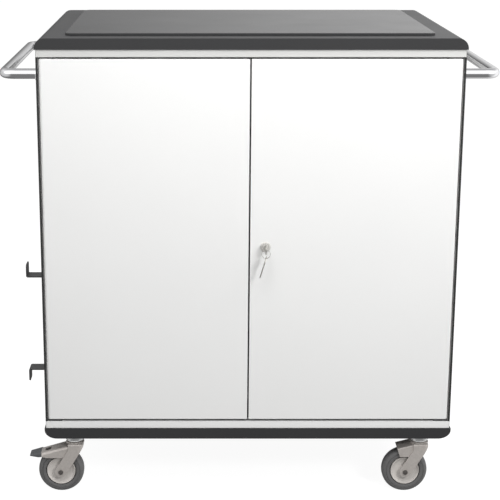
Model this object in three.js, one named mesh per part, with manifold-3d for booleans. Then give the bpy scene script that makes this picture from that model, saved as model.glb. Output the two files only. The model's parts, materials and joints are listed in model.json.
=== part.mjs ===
// Housekeeping cart: a closed two-door cabinet on four swivel castors, with a
// push handle at each end and two cord hooks on its left side.
// Millimetres, +Z up, the doors face -Y, the floor is Z = 0.
import * as THREE from 'three';
import { mergeVertices } from 'three/addons/utils/BufferGeometryUtils.js';
import Module from 'manifold-3d';

const wasm = await Module();
wasm.setup();

// ---------------------------------------------------------------- dimensions
const GAP = 0.3; // left between pieces that rest on each other

// Cabinet
const WIDTH = 880;
const DEPTH = 645;
const FRONT = -DEPTH / 2;
const BACK = DEPTH / 2;
const OVERHANG = 2.5; // mouldings stand this far past the cabinet
const COVER_END = { x: 21, z: 21 }; // half axes of the rounded ends
const BASE_END = { x: 27, z: 19.5 };
const BASE_BOTTOM = 133;
const BASE_TOP = 156.9;
const FLOOR_BOTTOM = 157.2;
const FLOOR_TOP = 172.6;
const ROOF_BOTTOM = 963.9;
const ROOF_TOP = 979;
const COVER_TOP = 1002.3;
const COVER_WALL = 5;
const BASE_FLOOR = 9;
const PAD_TOP = 1007.6;
const PAD_SIDE_BORDER = 56;
const PAD_FRONT_BORDER = 50;
const PAD_CORNER = 18;
const SIDE_THICKNESS = 5;
const BACK_THICKNESS = 5;

// Shelves
const SHELF_BOTTOMS = { lower: 425, upper: 693 };
const SHELF_THICKNESS = 16;
const SHELF_SETBACK = 60;
const RAIL_LEG = 20;
const RAIL_WALL = 2;
const RAIL_SETBACK = 80;

// Doors turn on upright pins set behind their rounded outer front corners
const DOOR_THICKNESS = 19;
const DOOR_BOTTOM = 177.7;
const DOOR_TOP = 960.5;
const DOOR_EDGE = WIDTH / 2 - SIDE_THICKNESS - 1;
const DOOR_MEETING_GAP = 1.5; // from the middle line to each door
const DOOR_CORNER = 8;
const PIVOT_X = DOOR_EDGE - DOOR_CORNER;
const PIVOT_Y = FRONT + DOOR_CORNER;
const PIN_RADIUS = 4;
const PIN_HOLE_RADIUS = 4.4;
const PIN_REACH = 17;
const PIVOT_PLATE_LENGTH = 30;

// Cam lock on the right door
const LOCK_X = 34;
const LOCK_Z = 565;
const LOCK_HEAD_RADIUS = 11;
const BARREL_RADIUS = 9;
const PLUG_RADIUS = 6;
const CAM_REACH = 46;
const CAM_HALF_WIDTH = 7;
const CAM_THICKNESS = 2;

// Keys and their ring
const KEY_THICKNESS = 2;
const KEY_HEIGHT = 8;
const KEY_LENGTH = 45; // from the hole in the bow to the tip
const BOW_RADIUS = 12;
const BOW_HOLE_RADIUS = 3;
const BOW_HOLE_OFFSET = 7;
const KEY_HOLE_OUT = 28; // the inserted key's bow hole, in front of the door
const RING_RADIUS = 9;
const RING_WIRE = 0.8;
const RING_YAW = THREE.MathUtils.degToRad(-4);
const SPARE_LEAN = THREE.MathUtils.degToRad(16); // sideways, held by the ring's friction

// Sliding bolts that hold the left door
const BOLT_X = -22;
const BOLT_Y = FRONT + DOOR_THICKNESS + 8.5;
const BOLT_RADIUS = 4;
const BOLT_LENGTH = 90;
const BOLT_HOLE_RADIUS = 5.2;
const BOLT_INSET = 2.6; // drawn back behind the door's end
const GUIDE_OFFSET = 30.5; // from the door's end to the guide
const GUIDE_HEIGHT = 30;

// Push handles
const TUBE_RADIUS = 11;
const HANDLE_Z = 922.4;
const HANDLE_REACH = 514.5; // tube's middle line from the cabinet's middle
const HANDLE_LEG_INSET = 61;
const HANDLE_BEND = 26;
const BEND_STEPS = 6;
const FLANGE_RADIUS = 22;
const FLANGE_THICKNESS = 4;

// Cord hooks, bent from flat bar
const HOOK_Y = FRONT + 150;
const HOOK_HALF_WIDTH = 18;
const HOOK_BAR = 3;
const HOOK_REACH = 489.3;
const HOOK_FLANGE = 28;
const HOOK_UPPER = { seat: 463.3, tip: 489.5 };
const HOOK_LOWER = { seat: 243.8, tip: 217.6 };

// Castors, measured from their own swivel axis
const CASTOR_X = 379.5;
const CASTOR_Y = DEPTH / 2 - 31;
const TRAIL = 31;
const WHEEL_RADIUS = 50;
const TYRE_SIDES = 28;
const TYRE_HALF = 15;
const RIM_RADIUS = 32.3;
const RIM_SIDES = 20;
const HUB_RADIUS = 9;
const HUB_HALF = 20;
const RIM_HALF = 15.5;
const AXLE_RADIUS = 4;
const AXLE_HEAD_RADIUS = 5.3;
const LEG_INNER = 21;
const LEG_OUTER = 23.5;
const SHELL_INNER = 18.8;
const LEG_END_RADIUS = 12.5;
const RACE_BOTTOM = 117.5;
const MOUNT_BOLT_RADIUS = 6;
const MOUNT_NUT_RADIUS = 10.5;
const HEAD_TOP = RACE_BOTTOM - GAP;
const HEAD_RADIUS = 20;
const BRAKE_PIVOT = { x: -4, z: 104 };
const BRAKE_PIN_RADIUS = 3;

// ------------------------------------------------------------------ finishes
const GRAPHITE_MOULDING = { color: 0x47484a, roughness: 0.55, metalness: 0 };
const PAD_RUBBER = { color: 0x55575a, roughness: 0.6, metalness: 0 };
const WHITE_LAMINATE = { color: 0xf2f2f0, roughness: 0.4, metalness: 0 };
const BLACK_CORE_PANEL = { color: 0x141414, roughness: 0.5, metalness: 0 };
const ALUMINIUM = { color: 0xb8babc, roughness: 0.4, metalness: 1 };
const POLISHED_STEEL = { color: 0xd4d5d6, roughness: 0.15, metalness: 1 };
const DARK_COATED_STEEL = { color: 0x3f4042, roughness: 0.5, metalness: 0.3 };
const NICKEL = { color: 0xb9b8b4, roughness: 0.25, metalness: 1 };
const ZINC_STEEL = { color: 0xa9a4a0, roughness: 0.45, metalness: 0.8 };
const RIM_PLASTIC = { color: 0xbdb9b5, roughness: 0.5, metalness: 0 };
const TYRE_RUBBER = { color: 0x5a5a5a, roughness: 0.75, metalness: 0 };

// ------------------------------------------------------------------- helpers
const cart = new THREE.Group();

function addPiece(name, geometry, finish, parent = cart) {
  const mesh = new THREE.Mesh(geometry, new THREE.MeshStandardMaterial(finish));
  mesh.name = name;
  parent.add(mesh);
  return mesh;
}

function solidOf(geometry) {
  const bare = geometry.clone();
  bare.deleteAttribute('normal');
  bare.deleteAttribute('uv');
  const merged = mergeVertices(bare, 1e-4);
  const vertProperties = new Float32Array(merged.attributes.position.array);
  const triVerts = new Uint32Array(merged.index.array);
  return new wasm.Manifold(new wasm.Mesh({ numProp: 3, vertProperties, triVerts }));
}

// Joins the added geometries to the base, then takes the removed ones away.
function combine(base, added, removed = []) {
  let solid = solidOf(base);
  for (const geometry of added) {
    solid = solid.add(solidOf(geometry));
  }
  for (const geometry of removed) {
    solid = solid.subtract(solidOf(geometry));
  }
  const { vertProperties, triVerts } = solid.getMesh();
  const result = new THREE.BufferGeometry();
  result.setAttribute('position', new THREE.BufferAttribute(new Float32Array(vertProperties), 3));
  result.setIndex(new THREE.BufferAttribute(new Uint32Array(triVerts), 1));
  return result;
}

function block(x0, x1, y0, y1, z0, z1) {
  const geometry = new THREE.BoxGeometry(x1 - x0, y1 - y0, z1 - z0);
  return geometry.translate((x0 + x1) / 2, (y0 + y1) / 2, (z0 + z1) / 2);
}

function rodAlongX(radius, y, z, x0, x1, sides = 16) {
  const geometry = new THREE.CylinderGeometry(radius, radius, x1 - x0, sides);
  return geometry.rotateZ(Math.PI / 2).translate((x0 + x1) / 2, y, z);
}

function rodAlongY(radius, x, z, y0, y1, sides = 16) {
  const geometry = new THREE.CylinderGeometry(radius, radius, y1 - y0, sides);
  return geometry.translate(x, (y0 + y1) / 2, z);
}

function rodAlongZ(radius, x, y, z0, z1, sides = 16) {
  const geometry = new THREE.CylinderGeometry(radius, radius, z1 - z0, sides);
  return geometry.rotateX(Math.PI / 2).translate(x, y, (z0 + z1) / 2);
}

function polygon(points) {
  return new THREE.Shape(points.map(([a, b]) => new THREE.Vector2(a, b)));
}

// An outline drawn in X and Z, extruded from y0 to y1.
function prismAlongY(shape, y0, y1, curveSegments = 6) {
  const options = { depth: y1 - y0, bevelEnabled: false, curveSegments };
  return new THREE.ExtrudeGeometry(shape, options).rotateX(Math.PI / 2).translate(0, y1, 0);
}

// An outline drawn in X and Y, extruded from z0 to z1.
function prismAlongZ(shape, z0, z1, curveSegments = 5) {
  const options = { depth: z1 - z0, bevelEnabled: false, curveSegments };
  return new THREE.ExtrudeGeometry(shape, options).translate(0, 0, z0);
}

// A bar with straight sides and quarter-round ends on one side: `flat` is the
// square side's height and `round` the rounded side's, in X and Z.
function quarterRoundOutline(halfWidth, flat, round, end) {
  const up = Math.sign(round - flat);
  const middle = round - up * end.z;
  const start = halfWidth - end.x;
  const top = (up * Math.PI) / 2;
  const shape = new THREE.Shape();
  shape.moveTo(-halfWidth, flat);
  shape.lineTo(-halfWidth, middle);
  shape.absellipse(-start, middle, end.x, end.z, Math.PI, top, up > 0);
  shape.lineTo(start, round);
  shape.absellipse(start, middle, end.x, end.z, top, 0, up > 0);
  shape.lineTo(halfWidth, flat);
  shape.closePath();
  return shape;
}

function roundedRectangle(x0, x1, y0, y1, radius) {
  const shape = new THREE.Shape();
  shape.absarc(x0 + radius, y0 + radius, radius, Math.PI, Math.PI * 1.5);
  shape.absarc(x1 - radius, y0 + radius, radius, -Math.PI / 2, 0);
  shape.absarc(x1 - radius, y1 - radius, radius, 0, Math.PI / 2);
  shape.absarc(x0 + radius, y1 - radius, radius, Math.PI / 2, Math.PI);
  shape.closePath();
  return shape;
}

// A ring of revolution about Y from a closed list of [radius, y] points. The
// half-side turn leaves a flat side of the ring facing straight down.
function turnedRing(points, sides) {
  const profile = points.map(([radius, y]) => new THREE.Vector2(radius, y));
  profile.push(profile[0].clone());
  return new THREE.LatheGeometry(profile, sides).rotateY(Math.PI / sides);
}

// ------------------------------------------------------------------- cabinet
function buildTopCover() {
  const halfWidth = WIDTH / 2 + OVERHANG;
  const front = FRONT - OVERHANG;
  const back = BACK + OVERHANG;
  const outer = quarterRoundOutline(halfWidth, ROOF_TOP + GAP, COVER_TOP, COVER_END);
  const innerEnd = { x: COVER_END.x - COVER_WALL, z: COVER_END.z - COVER_WALL };
  const inner = quarterRoundOutline(
    halfWidth - COVER_WALL, ROOF_TOP - 1, COVER_TOP - COVER_WALL, innerEnd);
  const recess = prismAlongY(inner, front + COVER_WALL, back - COVER_WALL);
  addPiece('top_cover', combine(prismAlongY(outer, front, back), [], [recess]), GRAPHITE_MOULDING);
  const pad = roundedRectangle(
    -WIDTH / 2 + PAD_SIDE_BORDER, WIDTH / 2 - PAD_SIDE_BORDER,
    FRONT + PAD_FRONT_BORDER, BACK - PAD_FRONT_BORDER, PAD_CORNER);
  addPiece('top_pad', prismAlongZ(pad, COVER_TOP + GAP, PAD_TOP), PAD_RUBBER);
}

function buildBase() {
  const halfWidth = WIDTH / 2 + OVERHANG;
  const front = FRONT - OVERHANG;
  const back = BACK + OVERHANG;
  const outer = quarterRoundOutline(halfWidth, BASE_TOP, BASE_BOTTOM, BASE_END);
  const recess = block(
    -halfWidth + COVER_WALL * 2, halfWidth - COVER_WALL * 2,
    front + COVER_WALL, back - COVER_WALL, BASE_BOTTOM + BASE_FLOOR, BASE_TOP + 1);
  const boltHoles = [[-1, -1], [1, -1], [-1, 1], [1, 1]].map(([x, y]) => rodAlongZ(
    MOUNT_BOLT_RADIUS + 0.4, x * CASTOR_X, y * CASTOR_Y, BASE_BOTTOM - 1, BASE_TOP + 1, 12));
  const tray = combine(prismAlongY(outer, front, back), [], [recess, ...boltHoles]);
  addPiece('base_plinth', tray, GRAPHITE_MOULDING);
}

function buildCarcass() {
  const half = WIDTH / 2;
  const inside = half - SIDE_THICKNESS;
  const boltHoleDepth = 12;
  const roofHole = rodAlongZ(
    BOLT_HOLE_RADIUS, BOLT_X, BOLT_Y, ROOF_BOTTOM - 1, ROOF_BOTTOM + boltHoleDepth);
  const floorHole = rodAlongZ(
    BOLT_HOLE_RADIUS, BOLT_X, BOLT_Y, FLOOR_TOP - boltHoleDepth, FLOOR_TOP + 1);
  const roof = combine(block(-half, half, FRONT, BACK, ROOF_BOTTOM, ROOF_TOP), [], [roofHole]);
  const floor = combine(block(-half, half, FRONT, BACK, FLOOR_BOTTOM, FLOOR_TOP), [], [floorHole]);
  addPiece('roof_board', roof, WHITE_LAMINATE);
  addPiece('floor_board', floor, WHITE_LAMINATE);
  const low = FLOOR_TOP + GAP;
  const high = ROOF_BOTTOM - GAP;
  addPiece('side_panel_left', block(-half, -inside, FRONT, BACK, low, high), BLACK_CORE_PANEL);
  addPiece('side_panel_right', block(inside, half, FRONT, BACK, low, high), BLACK_CORE_PANEL);
  const back = block(-inside + GAP, inside - GAP, BACK - BACK_THICKNESS, BACK, low, high);
  addPiece('back_panel', back, WHITE_LAMINATE);
}

function buildShelf(level, bottom) {
  const half = WIDTH / 2 - SIDE_THICKNESS - GAP;
  const back = BACK - BACK_THICKNESS - GAP;
  const shelf = block(
    -half + GAP, half - GAP, FRONT + SHELF_SETBACK, back, bottom, bottom + SHELF_THICKNESS);
  addPiece(`shelf_${level}`, shelf, WHITE_LAMINATE);
  const top = bottom - GAP;
  for (const [side, sign] of [['left', -1], ['right', 1]]) {
    const outline = polygon([
      [sign * half, top],
      [sign * (half - RAIL_LEG), top],
      [sign * (half - RAIL_LEG), top - RAIL_WALL],
      [sign * (half - RAIL_WALL), top - RAIL_WALL],
      [sign * (half - RAIL_WALL), top - RAIL_LEG],
      [sign * half, top - RAIL_LEG],
    ]);
    const rail = prismAlongY(outline, FRONT + RAIL_SETBACK, back - RAIL_LEG);
    addPiece(`shelf_rail_${level}_${side}`, rail, ALUMINIUM);
  }
}

// --------------------------------------------------------------------- doors
function doorOutline(sign) {
  const shape = new THREE.Shape();
  const back = FRONT + DOOR_THICKNESS;
  shape.moveTo(sign * DOOR_MEETING_GAP, FRONT);
  shape.lineTo(sign * PIVOT_X, FRONT);
  const end = sign > 0 ? 0 : -Math.PI;
  shape.absarc(sign * PIVOT_X, PIVOT_Y, DOOR_CORNER, -Math.PI / 2, end, sign < 0);
  shape.lineTo(sign * DOOR_EDGE, back);
  shape.lineTo(sign * DOOR_MEETING_GAP, back);
  shape.closePath();
  return shape;
}

function buildDoor(side, sign) {
  const holes = [
    rodAlongZ(PIN_HOLE_RADIUS, sign * PIVOT_X, PIVOT_Y, DOOR_BOTTOM - 1, DOOR_BOTTOM + PIN_REACH + 2),
    rodAlongZ(PIN_HOLE_RADIUS, sign * PIVOT_X, PIVOT_Y, DOOR_TOP - PIN_REACH - 2, DOOR_TOP + 1),
  ];
  if (side === 'right') {
    const back = FRONT + DOOR_THICKNESS;
    holes.push(rodAlongY(BARREL_RADIUS + 0.5, LOCK_X, LOCK_Z, FRONT - 1, back + 1, 20));
  }
  const board = prismAlongZ(doorOutline(sign), DOOR_BOTTOM, DOOR_TOP);
  addPiece(`door_${side}`, combine(board, [], holes), WHITE_LAMINATE);
}

function buildPivots(side, sign) {
  const outer = sign * (WIDTH / 2 - SIDE_THICKNESS - 2 * GAP);
  const inner = outer - sign * PIVOT_PLATE_LENGTH;
  const [x0, x1] = [Math.min(outer, inner), Math.max(outer, inner)];
  const [y0, y1] = [FRONT + 1, FRONT + 2 * DOOR_CORNER + 1];
  const x = sign * PIVOT_X;
  const lowerTop = DOOR_BOTTOM - 0.5;
  const lowerPlate = block(x0, x1, y0, y1, FLOOR_TOP + GAP, lowerTop);
  const lowerPin = rodAlongZ(PIN_RADIUS, x, PIVOT_Y, lowerTop - 1, DOOR_BOTTOM + PIN_REACH);
  addPiece(`door_pivot_lower_${side}`, combine(lowerPlate, [lowerPin]), ZINC_STEEL);
  const upperBottom = DOOR_TOP + 0.7;
  const upperPlate = block(x0, x1, y0, y1, upperBottom, ROOF_BOTTOM - GAP);
  const upperPin = rodAlongZ(PIN_RADIUS, x, PIVOT_Y, DOOR_TOP - PIN_REACH, upperBottom + 1);
  addPiece(`door_pivot_upper_${side}`, combine(upperPlate, [upperPin]), ZINC_STEEL);
}

// -------------------------------------------------------------- lock and keys
function buildLock() {
  const doorBack = FRONT + DOOR_THICKNESS;
  const barrelEnd = doorBack + 4.6;
  const plugEnd = doorBack + 5;
  const head = rodAlongY(LOCK_HEAD_RADIUS, LOCK_X, LOCK_Z, FRONT - GAP - 2.5, FRONT - GAP, 24);
  const barrel = rodAlongY(BARREL_RADIUS, LOCK_X, LOCK_Z, FRONT - 1, barrelEnd, 20);
  const bore = rodAlongY(PLUG_RADIUS + 0.4, LOCK_X, LOCK_Z, FRONT - 5, barrelEnd + 1, 20);
  addPiece('lock_body', combine(head, [barrel], [bore]), NICKEL);

  const nut = rodAlongY(BARREL_RADIUS + 4.5, LOCK_X, LOCK_Z, doorBack + GAP, doorBack + 4, 6);
  const nutBore = rodAlongY(BARREL_RADIUS + 0.5, LOCK_X, LOCK_Z, doorBack, doorBack + 5, 20);
  addPiece('lock_nut', combine(nut, [], [nutBore]), NICKEL);

  const plug = rodAlongY(PLUG_RADIUS, LOCK_X, LOCK_Z, FRONT - GAP - 3, plugEnd, 20);
  const slotHalf = KEY_THICKNESS / 2 + 0.4;
  const slotRise = KEY_HEIGHT / 2 + 0.4;
  const keyway = block(
    LOCK_X - slotHalf, LOCK_X + slotHalf, FRONT - 5, doorBack, LOCK_Z - slotRise, LOCK_Z + slotRise);
  addPiece('lock_plug', combine(plug, [], [keyway]), NICKEL);

  // At rest the cam hangs straight down, clear of the left door.
  const cam = new THREE.Shape();
  cam.absarc(LOCK_X, LOCK_Z, CAM_HALF_WIDTH, 0, Math.PI);
  cam.absarc(LOCK_X, LOCK_Z - CAM_REACH + CAM_HALF_WIDTH, CAM_HALF_WIDTH, Math.PI, Math.PI * 2);
  cam.closePath();
  const camFront = plugEnd + GAP;
  addPiece('lock_cam', prismAlongY(cam, camFront, camFront + CAM_THICKNESS), ZINC_STEEL);

  const strike = block(-24, -3, doorBack + GAP, doorBack + 2.8, LOCK_Z - 22, LOCK_Z + 22);
  addPiece('lock_strike', strike, ZINC_STEEL);
}

// A flat key along +Y, with the middle of its bow hole at the origin.
function keyGeometry() {
  const half = KEY_THICKNESS / 2;
  const bow = rodAlongX(BOW_RADIUS, BOW_HOLE_OFFSET, 0, -half, half, 20);
  const blade = block(-half, half, BOW_HOLE_OFFSET, KEY_LENGTH, -KEY_HEIGHT / 2, KEY_HEIGHT / 2);
  const hole = rodAlongX(BOW_HOLE_RADIUS, 0, 0, -half - 1, half + 1, 12);
  return combine(bow, [blade], [hole]);
}

function buildKeys() {
  const bowHole = new THREE.Vector3(LOCK_X, FRONT - KEY_HOLE_OUT, LOCK_Z);
  addPiece('key', keyGeometry(), NICKEL).position.copy(bowHole);

  const hanging = new THREE.Group();
  hanging.position.copy(bowHole);
  hanging.rotation.z = RING_YAW;
  cart.add(hanging);
  const ring = new THREE.TorusGeometry(RING_RADIUS, RING_WIRE, 6, 24);
  addPiece('key_ring', ring.rotateX(Math.PI / 2).translate(0, 0, -RING_RADIUS), NICKEL, hanging);
  const spare = addPiece('spare_key', keyGeometry(), NICKEL, hanging);
  spare.position.z = -2 * RING_RADIUS;
  spare.rotation.set(-Math.PI / 2, SPARE_LEAN, 0, 'YXZ');
}

// --------------------------------------------------------------- door bolts
// `end` is the door's top or bottom edge and `up` points out of the door there.
function buildBolt(level, end, up) {
  const doorBack = FRONT + DOOR_THICKNESS;
  const span = (a, b) => [Math.min(a, b), Math.max(a, b)];
  const [rodLow, rodHigh] = span(end - up * BOLT_INSET, end - up * (BOLT_INSET + BOLT_LENGTH));
  const rod = rodAlongZ(BOLT_RADIUS, BOLT_X, BOLT_Y, rodLow, rodHigh);
  const knobZ = end - up * (BOLT_INSET + BOLT_LENGTH - 10);
  const knob = rodAlongY(3, BOLT_X, knobZ, BOLT_Y, BOLT_Y + 13, 10);
  addPiece(`door_bolt_${level}`, combine(rod, [knob]), ZINC_STEEL);
  const [low, high] = span(end - up * GUIDE_OFFSET, end - up * (GUIDE_OFFSET + GUIDE_HEIGHT));
  const housing = block(BOLT_X - 11, BOLT_X + 11, doorBack + GAP, BOLT_Y + 7.5, low, high);
  const hole = rodAlongZ(PIN_HOLE_RADIUS, BOLT_X, BOLT_Y, low - 1, high + 1);
  addPiece(`bolt_guide_${level}`, combine(housing, [], [hole]), ZINC_STEEL);
}

// -------------------------------------------------------------- push handles
// A path that passes straight from each of its points to the next.
class JoinedPoints extends THREE.Curve {
  constructor(points) {
    super();
    this.points = points;
  }

  getPoint(t, target = new THREE.Vector3()) {
    const along = t * (this.points.length - 1);
    const index = Math.min(Math.floor(along), this.points.length - 2);
    return target.lerpVectors(this.points[index], this.points[index + 1], along - index);
  }

  getPointAt(t, target) {
    return this.getPoint(t, target);
  }

  getTangentAt(t, target) {
    return this.getTangent(t, target);
  }
}

function buildHandle(side, sign) {
  const legFront = FRONT + HANDLE_LEG_INSET;
  const legBack = BACK - HANDLE_LEG_INSET;
  const foot = WIDTH / 2 + GAP;
  const bendX = HANDLE_REACH - HANDLE_BEND;
  const points = [new THREE.Vector3(sign * foot, legFront, HANDLE_Z)];
  for (const [centreY, turn] of [[legFront + HANDLE_BEND, -1], [legBack - HANDLE_BEND, 1]]) {
    for (let step = 0; step <= BEND_STEPS; step += 1) {
      const share = turn < 0 ? step / BEND_STEPS : 1 - step / BEND_STEPS;
      const angle = (share * Math.PI) / 2;
      const outward = bendX + HANDLE_BEND * Math.sin(angle);
      const along = centreY + turn * HANDLE_BEND * Math.cos(angle);
      points.push(new THREE.Vector3(sign * outward, along, HANDLE_Z));
    }
  }
  points.push(new THREE.Vector3(sign * foot, legBack, HANDLE_Z));
  const section = new THREE.Shape().absarc(0, 0, TUBE_RADIUS, 0, Math.PI * 2);
  const tube = new THREE.ExtrudeGeometry(section, {
    steps: points.length - 1,
    curveSegments: 6,
    extrudePath: new JoinedPoints(points),
  });
  const flanges = [legFront, legBack].map((y) => {
    const ends = [sign * foot, sign * (foot + FLANGE_THICKNESS)];
    return rodAlongX(FLANGE_RADIUS, y, HANDLE_Z, Math.min(...ends), Math.max(...ends), 20);
  });
  addPiece(`push_handle_${side}`, combine(tube, flanges), POLISHED_STEEL);
}

// ---------------------------------------------------------------- cord hooks
// `seat` is the face the cord lies on, and `tip` the end of the outer lip.
function buildHook(level, { seat, tip }) {
  const away = Math.sign(tip - seat);
  const wall = -WIDTH / 2 - GAP;
  const under = seat - away * HOOK_BAR;
  const outline = polygon([
    [wall, under - away * HOOK_FLANGE],
    [wall, seat],
    [-HOOK_REACH + HOOK_BAR, seat],
    [-HOOK_REACH + HOOK_BAR, tip],
    [-HOOK_REACH, tip],
    [-HOOK_REACH, under],
    [wall - HOOK_BAR, under],
    [wall - HOOK_BAR, under - away * HOOK_FLANGE],
  ]);
  const hook = prismAlongY(outline, HOOK_Y - HOOK_HALF_WIDTH, HOOK_Y + HOOK_HALF_WIDTH);
  addPiece(`cord_hook_${level}`, hook, DARK_COATED_STEEL);
}

// ------------------------------------------------------------------- castors
// Each castor is built about its own swivel axis, with the wheel trailing to -X.
function legOutline() {
  const shape = new THREE.Shape();
  shape.moveTo(19, HEAD_TOP - 2);
  shape.lineTo(19, 106);
  shape.lineTo(8, 89);
  shape.lineTo(-3, 80);
  const lean = -0.55; // the leg's slope turns both ends of its round foot
  shape.absarc(-TRAIL, WHEEL_RADIUS, LEG_END_RADIUS, lean, lean - Math.PI, true);
  shape.lineTo(-25, 84.8);
  shape.lineTo(-10, 98);
  shape.lineTo(-10, HEAD_TOP - 2);
  shape.closePath();
  return shape;
}

// The pressed shell between the legs. Without a brake it runs back over the
// wheel as a splash guard, and with one it stops short of the pedal.
function shellOutline(braked) {
  const lift = HEAD_TOP - 3.2;
  if (braked) {
    return polygon([[19, lift + 1], [19, 106], [8, 89], [6, 92], [6, lift + 1]]);
  }
  return polygon([
    [19, lift + 1], [19, 106], [8, 89], [-3, 84.8],
    [-45, 84.8], [-50, 103.8], [-10, lift],
  ]);
}

function buildFork(name, braked, parent) {
  const wheelRoom = block(-120, 16.5, -SHELL_INNER, SHELL_INNER, 0, 102);
  const shell = prismAlongY(shellOutline(braked), -LEG_INNER - 0.3, LEG_INNER + 0.3);
  const body = combine(shell, [], [wheelRoom]);
  const legs = [
    prismAlongY(legOutline(), -LEG_OUTER, -LEG_INNER, 8),
    prismAlongY(legOutline(), LEG_INNER, LEG_OUTER, 8),
  ];
  const head = rodAlongZ(HEAD_RADIUS, 0, 0, HEAD_TOP - 5, HEAD_TOP, 24);
  const crown = block(-10, 19, -LEG_OUTER, LEG_OUTER, HEAD_TOP - 5, HEAD_TOP - 2);
  const holes = [rodAlongY(AXLE_RADIUS + 0.4, -TRAIL, WHEEL_RADIUS, -30, 30, 12)];
  if (braked) {
    holes.push(rodAlongY(BRAKE_PIN_RADIUS + 0.4, BRAKE_PIVOT.x, BRAKE_PIVOT.z, -30, 30, 12));
  }
  addPiece(name, combine(body, [head, crown, ...legs], holes), ZINC_STEEL, parent);
}

// The fixed half of the ball race, with the bolt and nut that hold it through the base.
function buildMount(name, parent) {
  const top = BASE_BOTTOM - GAP;
  const nutSeat = BASE_BOTTOM + BASE_FLOOR + GAP;
  const nutTop = nutSeat + 8;
  const cup = [[0, RACE_BOTTOM], [18, RACE_BOTTOM], [22, 121.5], [22, top], [0, top]];
  const profile = cup.map(([radius, height]) => new THREE.Vector2(radius, height));
  const race = new THREE.LatheGeometry(profile, 24).rotateX(Math.PI / 2);
  const bolt = rodAlongZ(MOUNT_BOLT_RADIUS, 0, 0, top - 1, nutTop + 2, 12);
  const nut = rodAlongZ(MOUNT_NUT_RADIUS, 0, 0, nutSeat, nutTop, 6);
  addPiece(name, combine(race, [bolt, nut]), ZINC_STEEL, parent);
}

function buildWheel(corner, parent) {
  const outer = WHEEL_RADIUS / Math.cos(Math.PI / TYRE_SIDES); // flats touch the floor
  const inner = RIM_RADIUS + 0.6;
  const tyre = turnedRing([
    [inner, -TYRE_HALF + 2], [outer - 9, -TYRE_HALF], [outer - 3, -TYRE_HALF + 3], [outer, -5],
    [outer, 5], [outer - 3, TYRE_HALF - 3], [outer - 9, TYRE_HALF], [inner, TYRE_HALF - 2],
  ], TYRE_SIDES);
  const rim = turnedRing([
    [AXLE_RADIUS + 0.4, -HUB_HALF], [HUB_RADIUS, -HUB_HALF], [HUB_RADIUS, -10], [26, -8],
    [28, -RIM_HALF], [RIM_RADIUS, -RIM_HALF], [RIM_RADIUS, RIM_HALF], [28, RIM_HALF],
    [26, 8], [HUB_RADIUS, 10], [HUB_RADIUS, HUB_HALF], [AXLE_RADIUS + 0.4, HUB_HALF],
  ], RIM_SIDES);
  tyre.translate(-TRAIL, 0, WHEEL_RADIUS);
  rim.translate(-TRAIL, 0, WHEEL_RADIUS);
  addPiece(`castor_tyre_${corner}`, tyre, TYRE_RUBBER, parent);
  addPiece(`castor_rim_${corner}`, rim, RIM_PLASTIC, parent);
  const reach = LEG_OUTER + GAP;
  const shaft = rodAlongY(AXLE_RADIUS, -TRAIL, WHEEL_RADIUS, -reach - 2, reach + 2, 12);
  const heads = [
    rodAlongY(AXLE_HEAD_RADIUS, -TRAIL, WHEEL_RADIUS, -reach - 3.5, -reach, 12),
    rodAlongY(AXLE_HEAD_RADIUS, -TRAIL, WHEEL_RADIUS, reach, reach + 3.5, 12),
  ];
  addPiece(`castor_axle_${corner}`, combine(shaft, heads), ZINC_STEEL, parent);
}

// A pressed channel on a pin through the fork. It lies on the brake and is lifted off by its tip.
function buildBrake(corner, parent) {
  const half = LEG_INNER - GAP;
  const wall = 1.9;
  const outline = polygon([
    [3, 110], [3, 97], [-26, 81.5], [-61, 81.5], [-73, 84], [-80, 82.5],
    [-99, 84.5], [-99.5, 87.5], [-74.5, 92.2], [-16, 109.4],
  ]);
  const hollow = polygon([
    [4, 108.2], [4, 80], [-73, 80], [-73, 90.9], [-16, 107.6],
  ]);
  const channel = prismAlongY(outline, -half, half);
  const room = prismAlongY(hollow, -half + wall, half - wall);
  const pinReach = LEG_OUTER + 0.8;
  const pin = rodAlongY(BRAKE_PIN_RADIUS, BRAKE_PIVOT.x, BRAKE_PIVOT.z, -pinReach, pinReach, 12);
  const slot = block(-66, -53, -7, 7, 90, 105);
  const solid = combine(combine(channel, [], [room, slot]), [pin]);
  addPiece(`brake_pedal_${corner}`, solid, ZINC_STEEL, parent);
}

function buildCastor(corner, signX, signY) {
  const castor = new THREE.Group();
  castor.position.set(signX * CASTOR_X, signY * CASTOR_Y, 0);
  cart.add(castor);
  const braked = signX < 0;
  buildMount(`castor_mount_${corner}`, castor);
  buildFork(`castor_fork_${corner}`, braked, castor);
  buildWheel(corner, castor);
  if (braked) {
    buildBrake(corner, castor);
  }
}

// ------------------------------------------------------------------ assembly
buildTopCover();
buildBase();
buildCarcass();
for (const [level, bottom] of Object.entries(SHELF_BOTTOMS)) {
  buildShelf(level, bottom);
}
for (const [side, sign] of [['left', -1], ['right', 1]]) {
  buildDoor(side, sign);
  buildPivots(side, sign);
  buildHandle(side, sign);
}
buildLock();
buildKeys();
buildBolt('upper', DOOR_TOP, 1);
buildBolt('lower', DOOR_BOTTOM, -1);
buildHook('upper', HOOK_UPPER);
buildHook('lower', HOOK_LOWER);
buildCastor('front_left', -1, -1);
buildCastor('front_right', 1, -1);
buildCastor('rear_left', -1, 1);
buildCastor('rear_right', 1, 1);

// The origin is on the floor under the middle of the whole cart, keys included.
const bounds = new THREE.Box3().setFromObject(cart, true);
cart.position.y = -(bounds.min.y + bounds.max.y) / 2;

export default cart;
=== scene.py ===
"""Looks of a closed housekeeping cart on four swivel castors.

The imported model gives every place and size. This script makes the finished pieces around it: two
graphite mouldings, a white laminate cabinet with compact side panels, polished push handles, a cam
lock with its keys, and the castors. Sizes are in millimetres until a piece is put in its place.
"""

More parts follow.
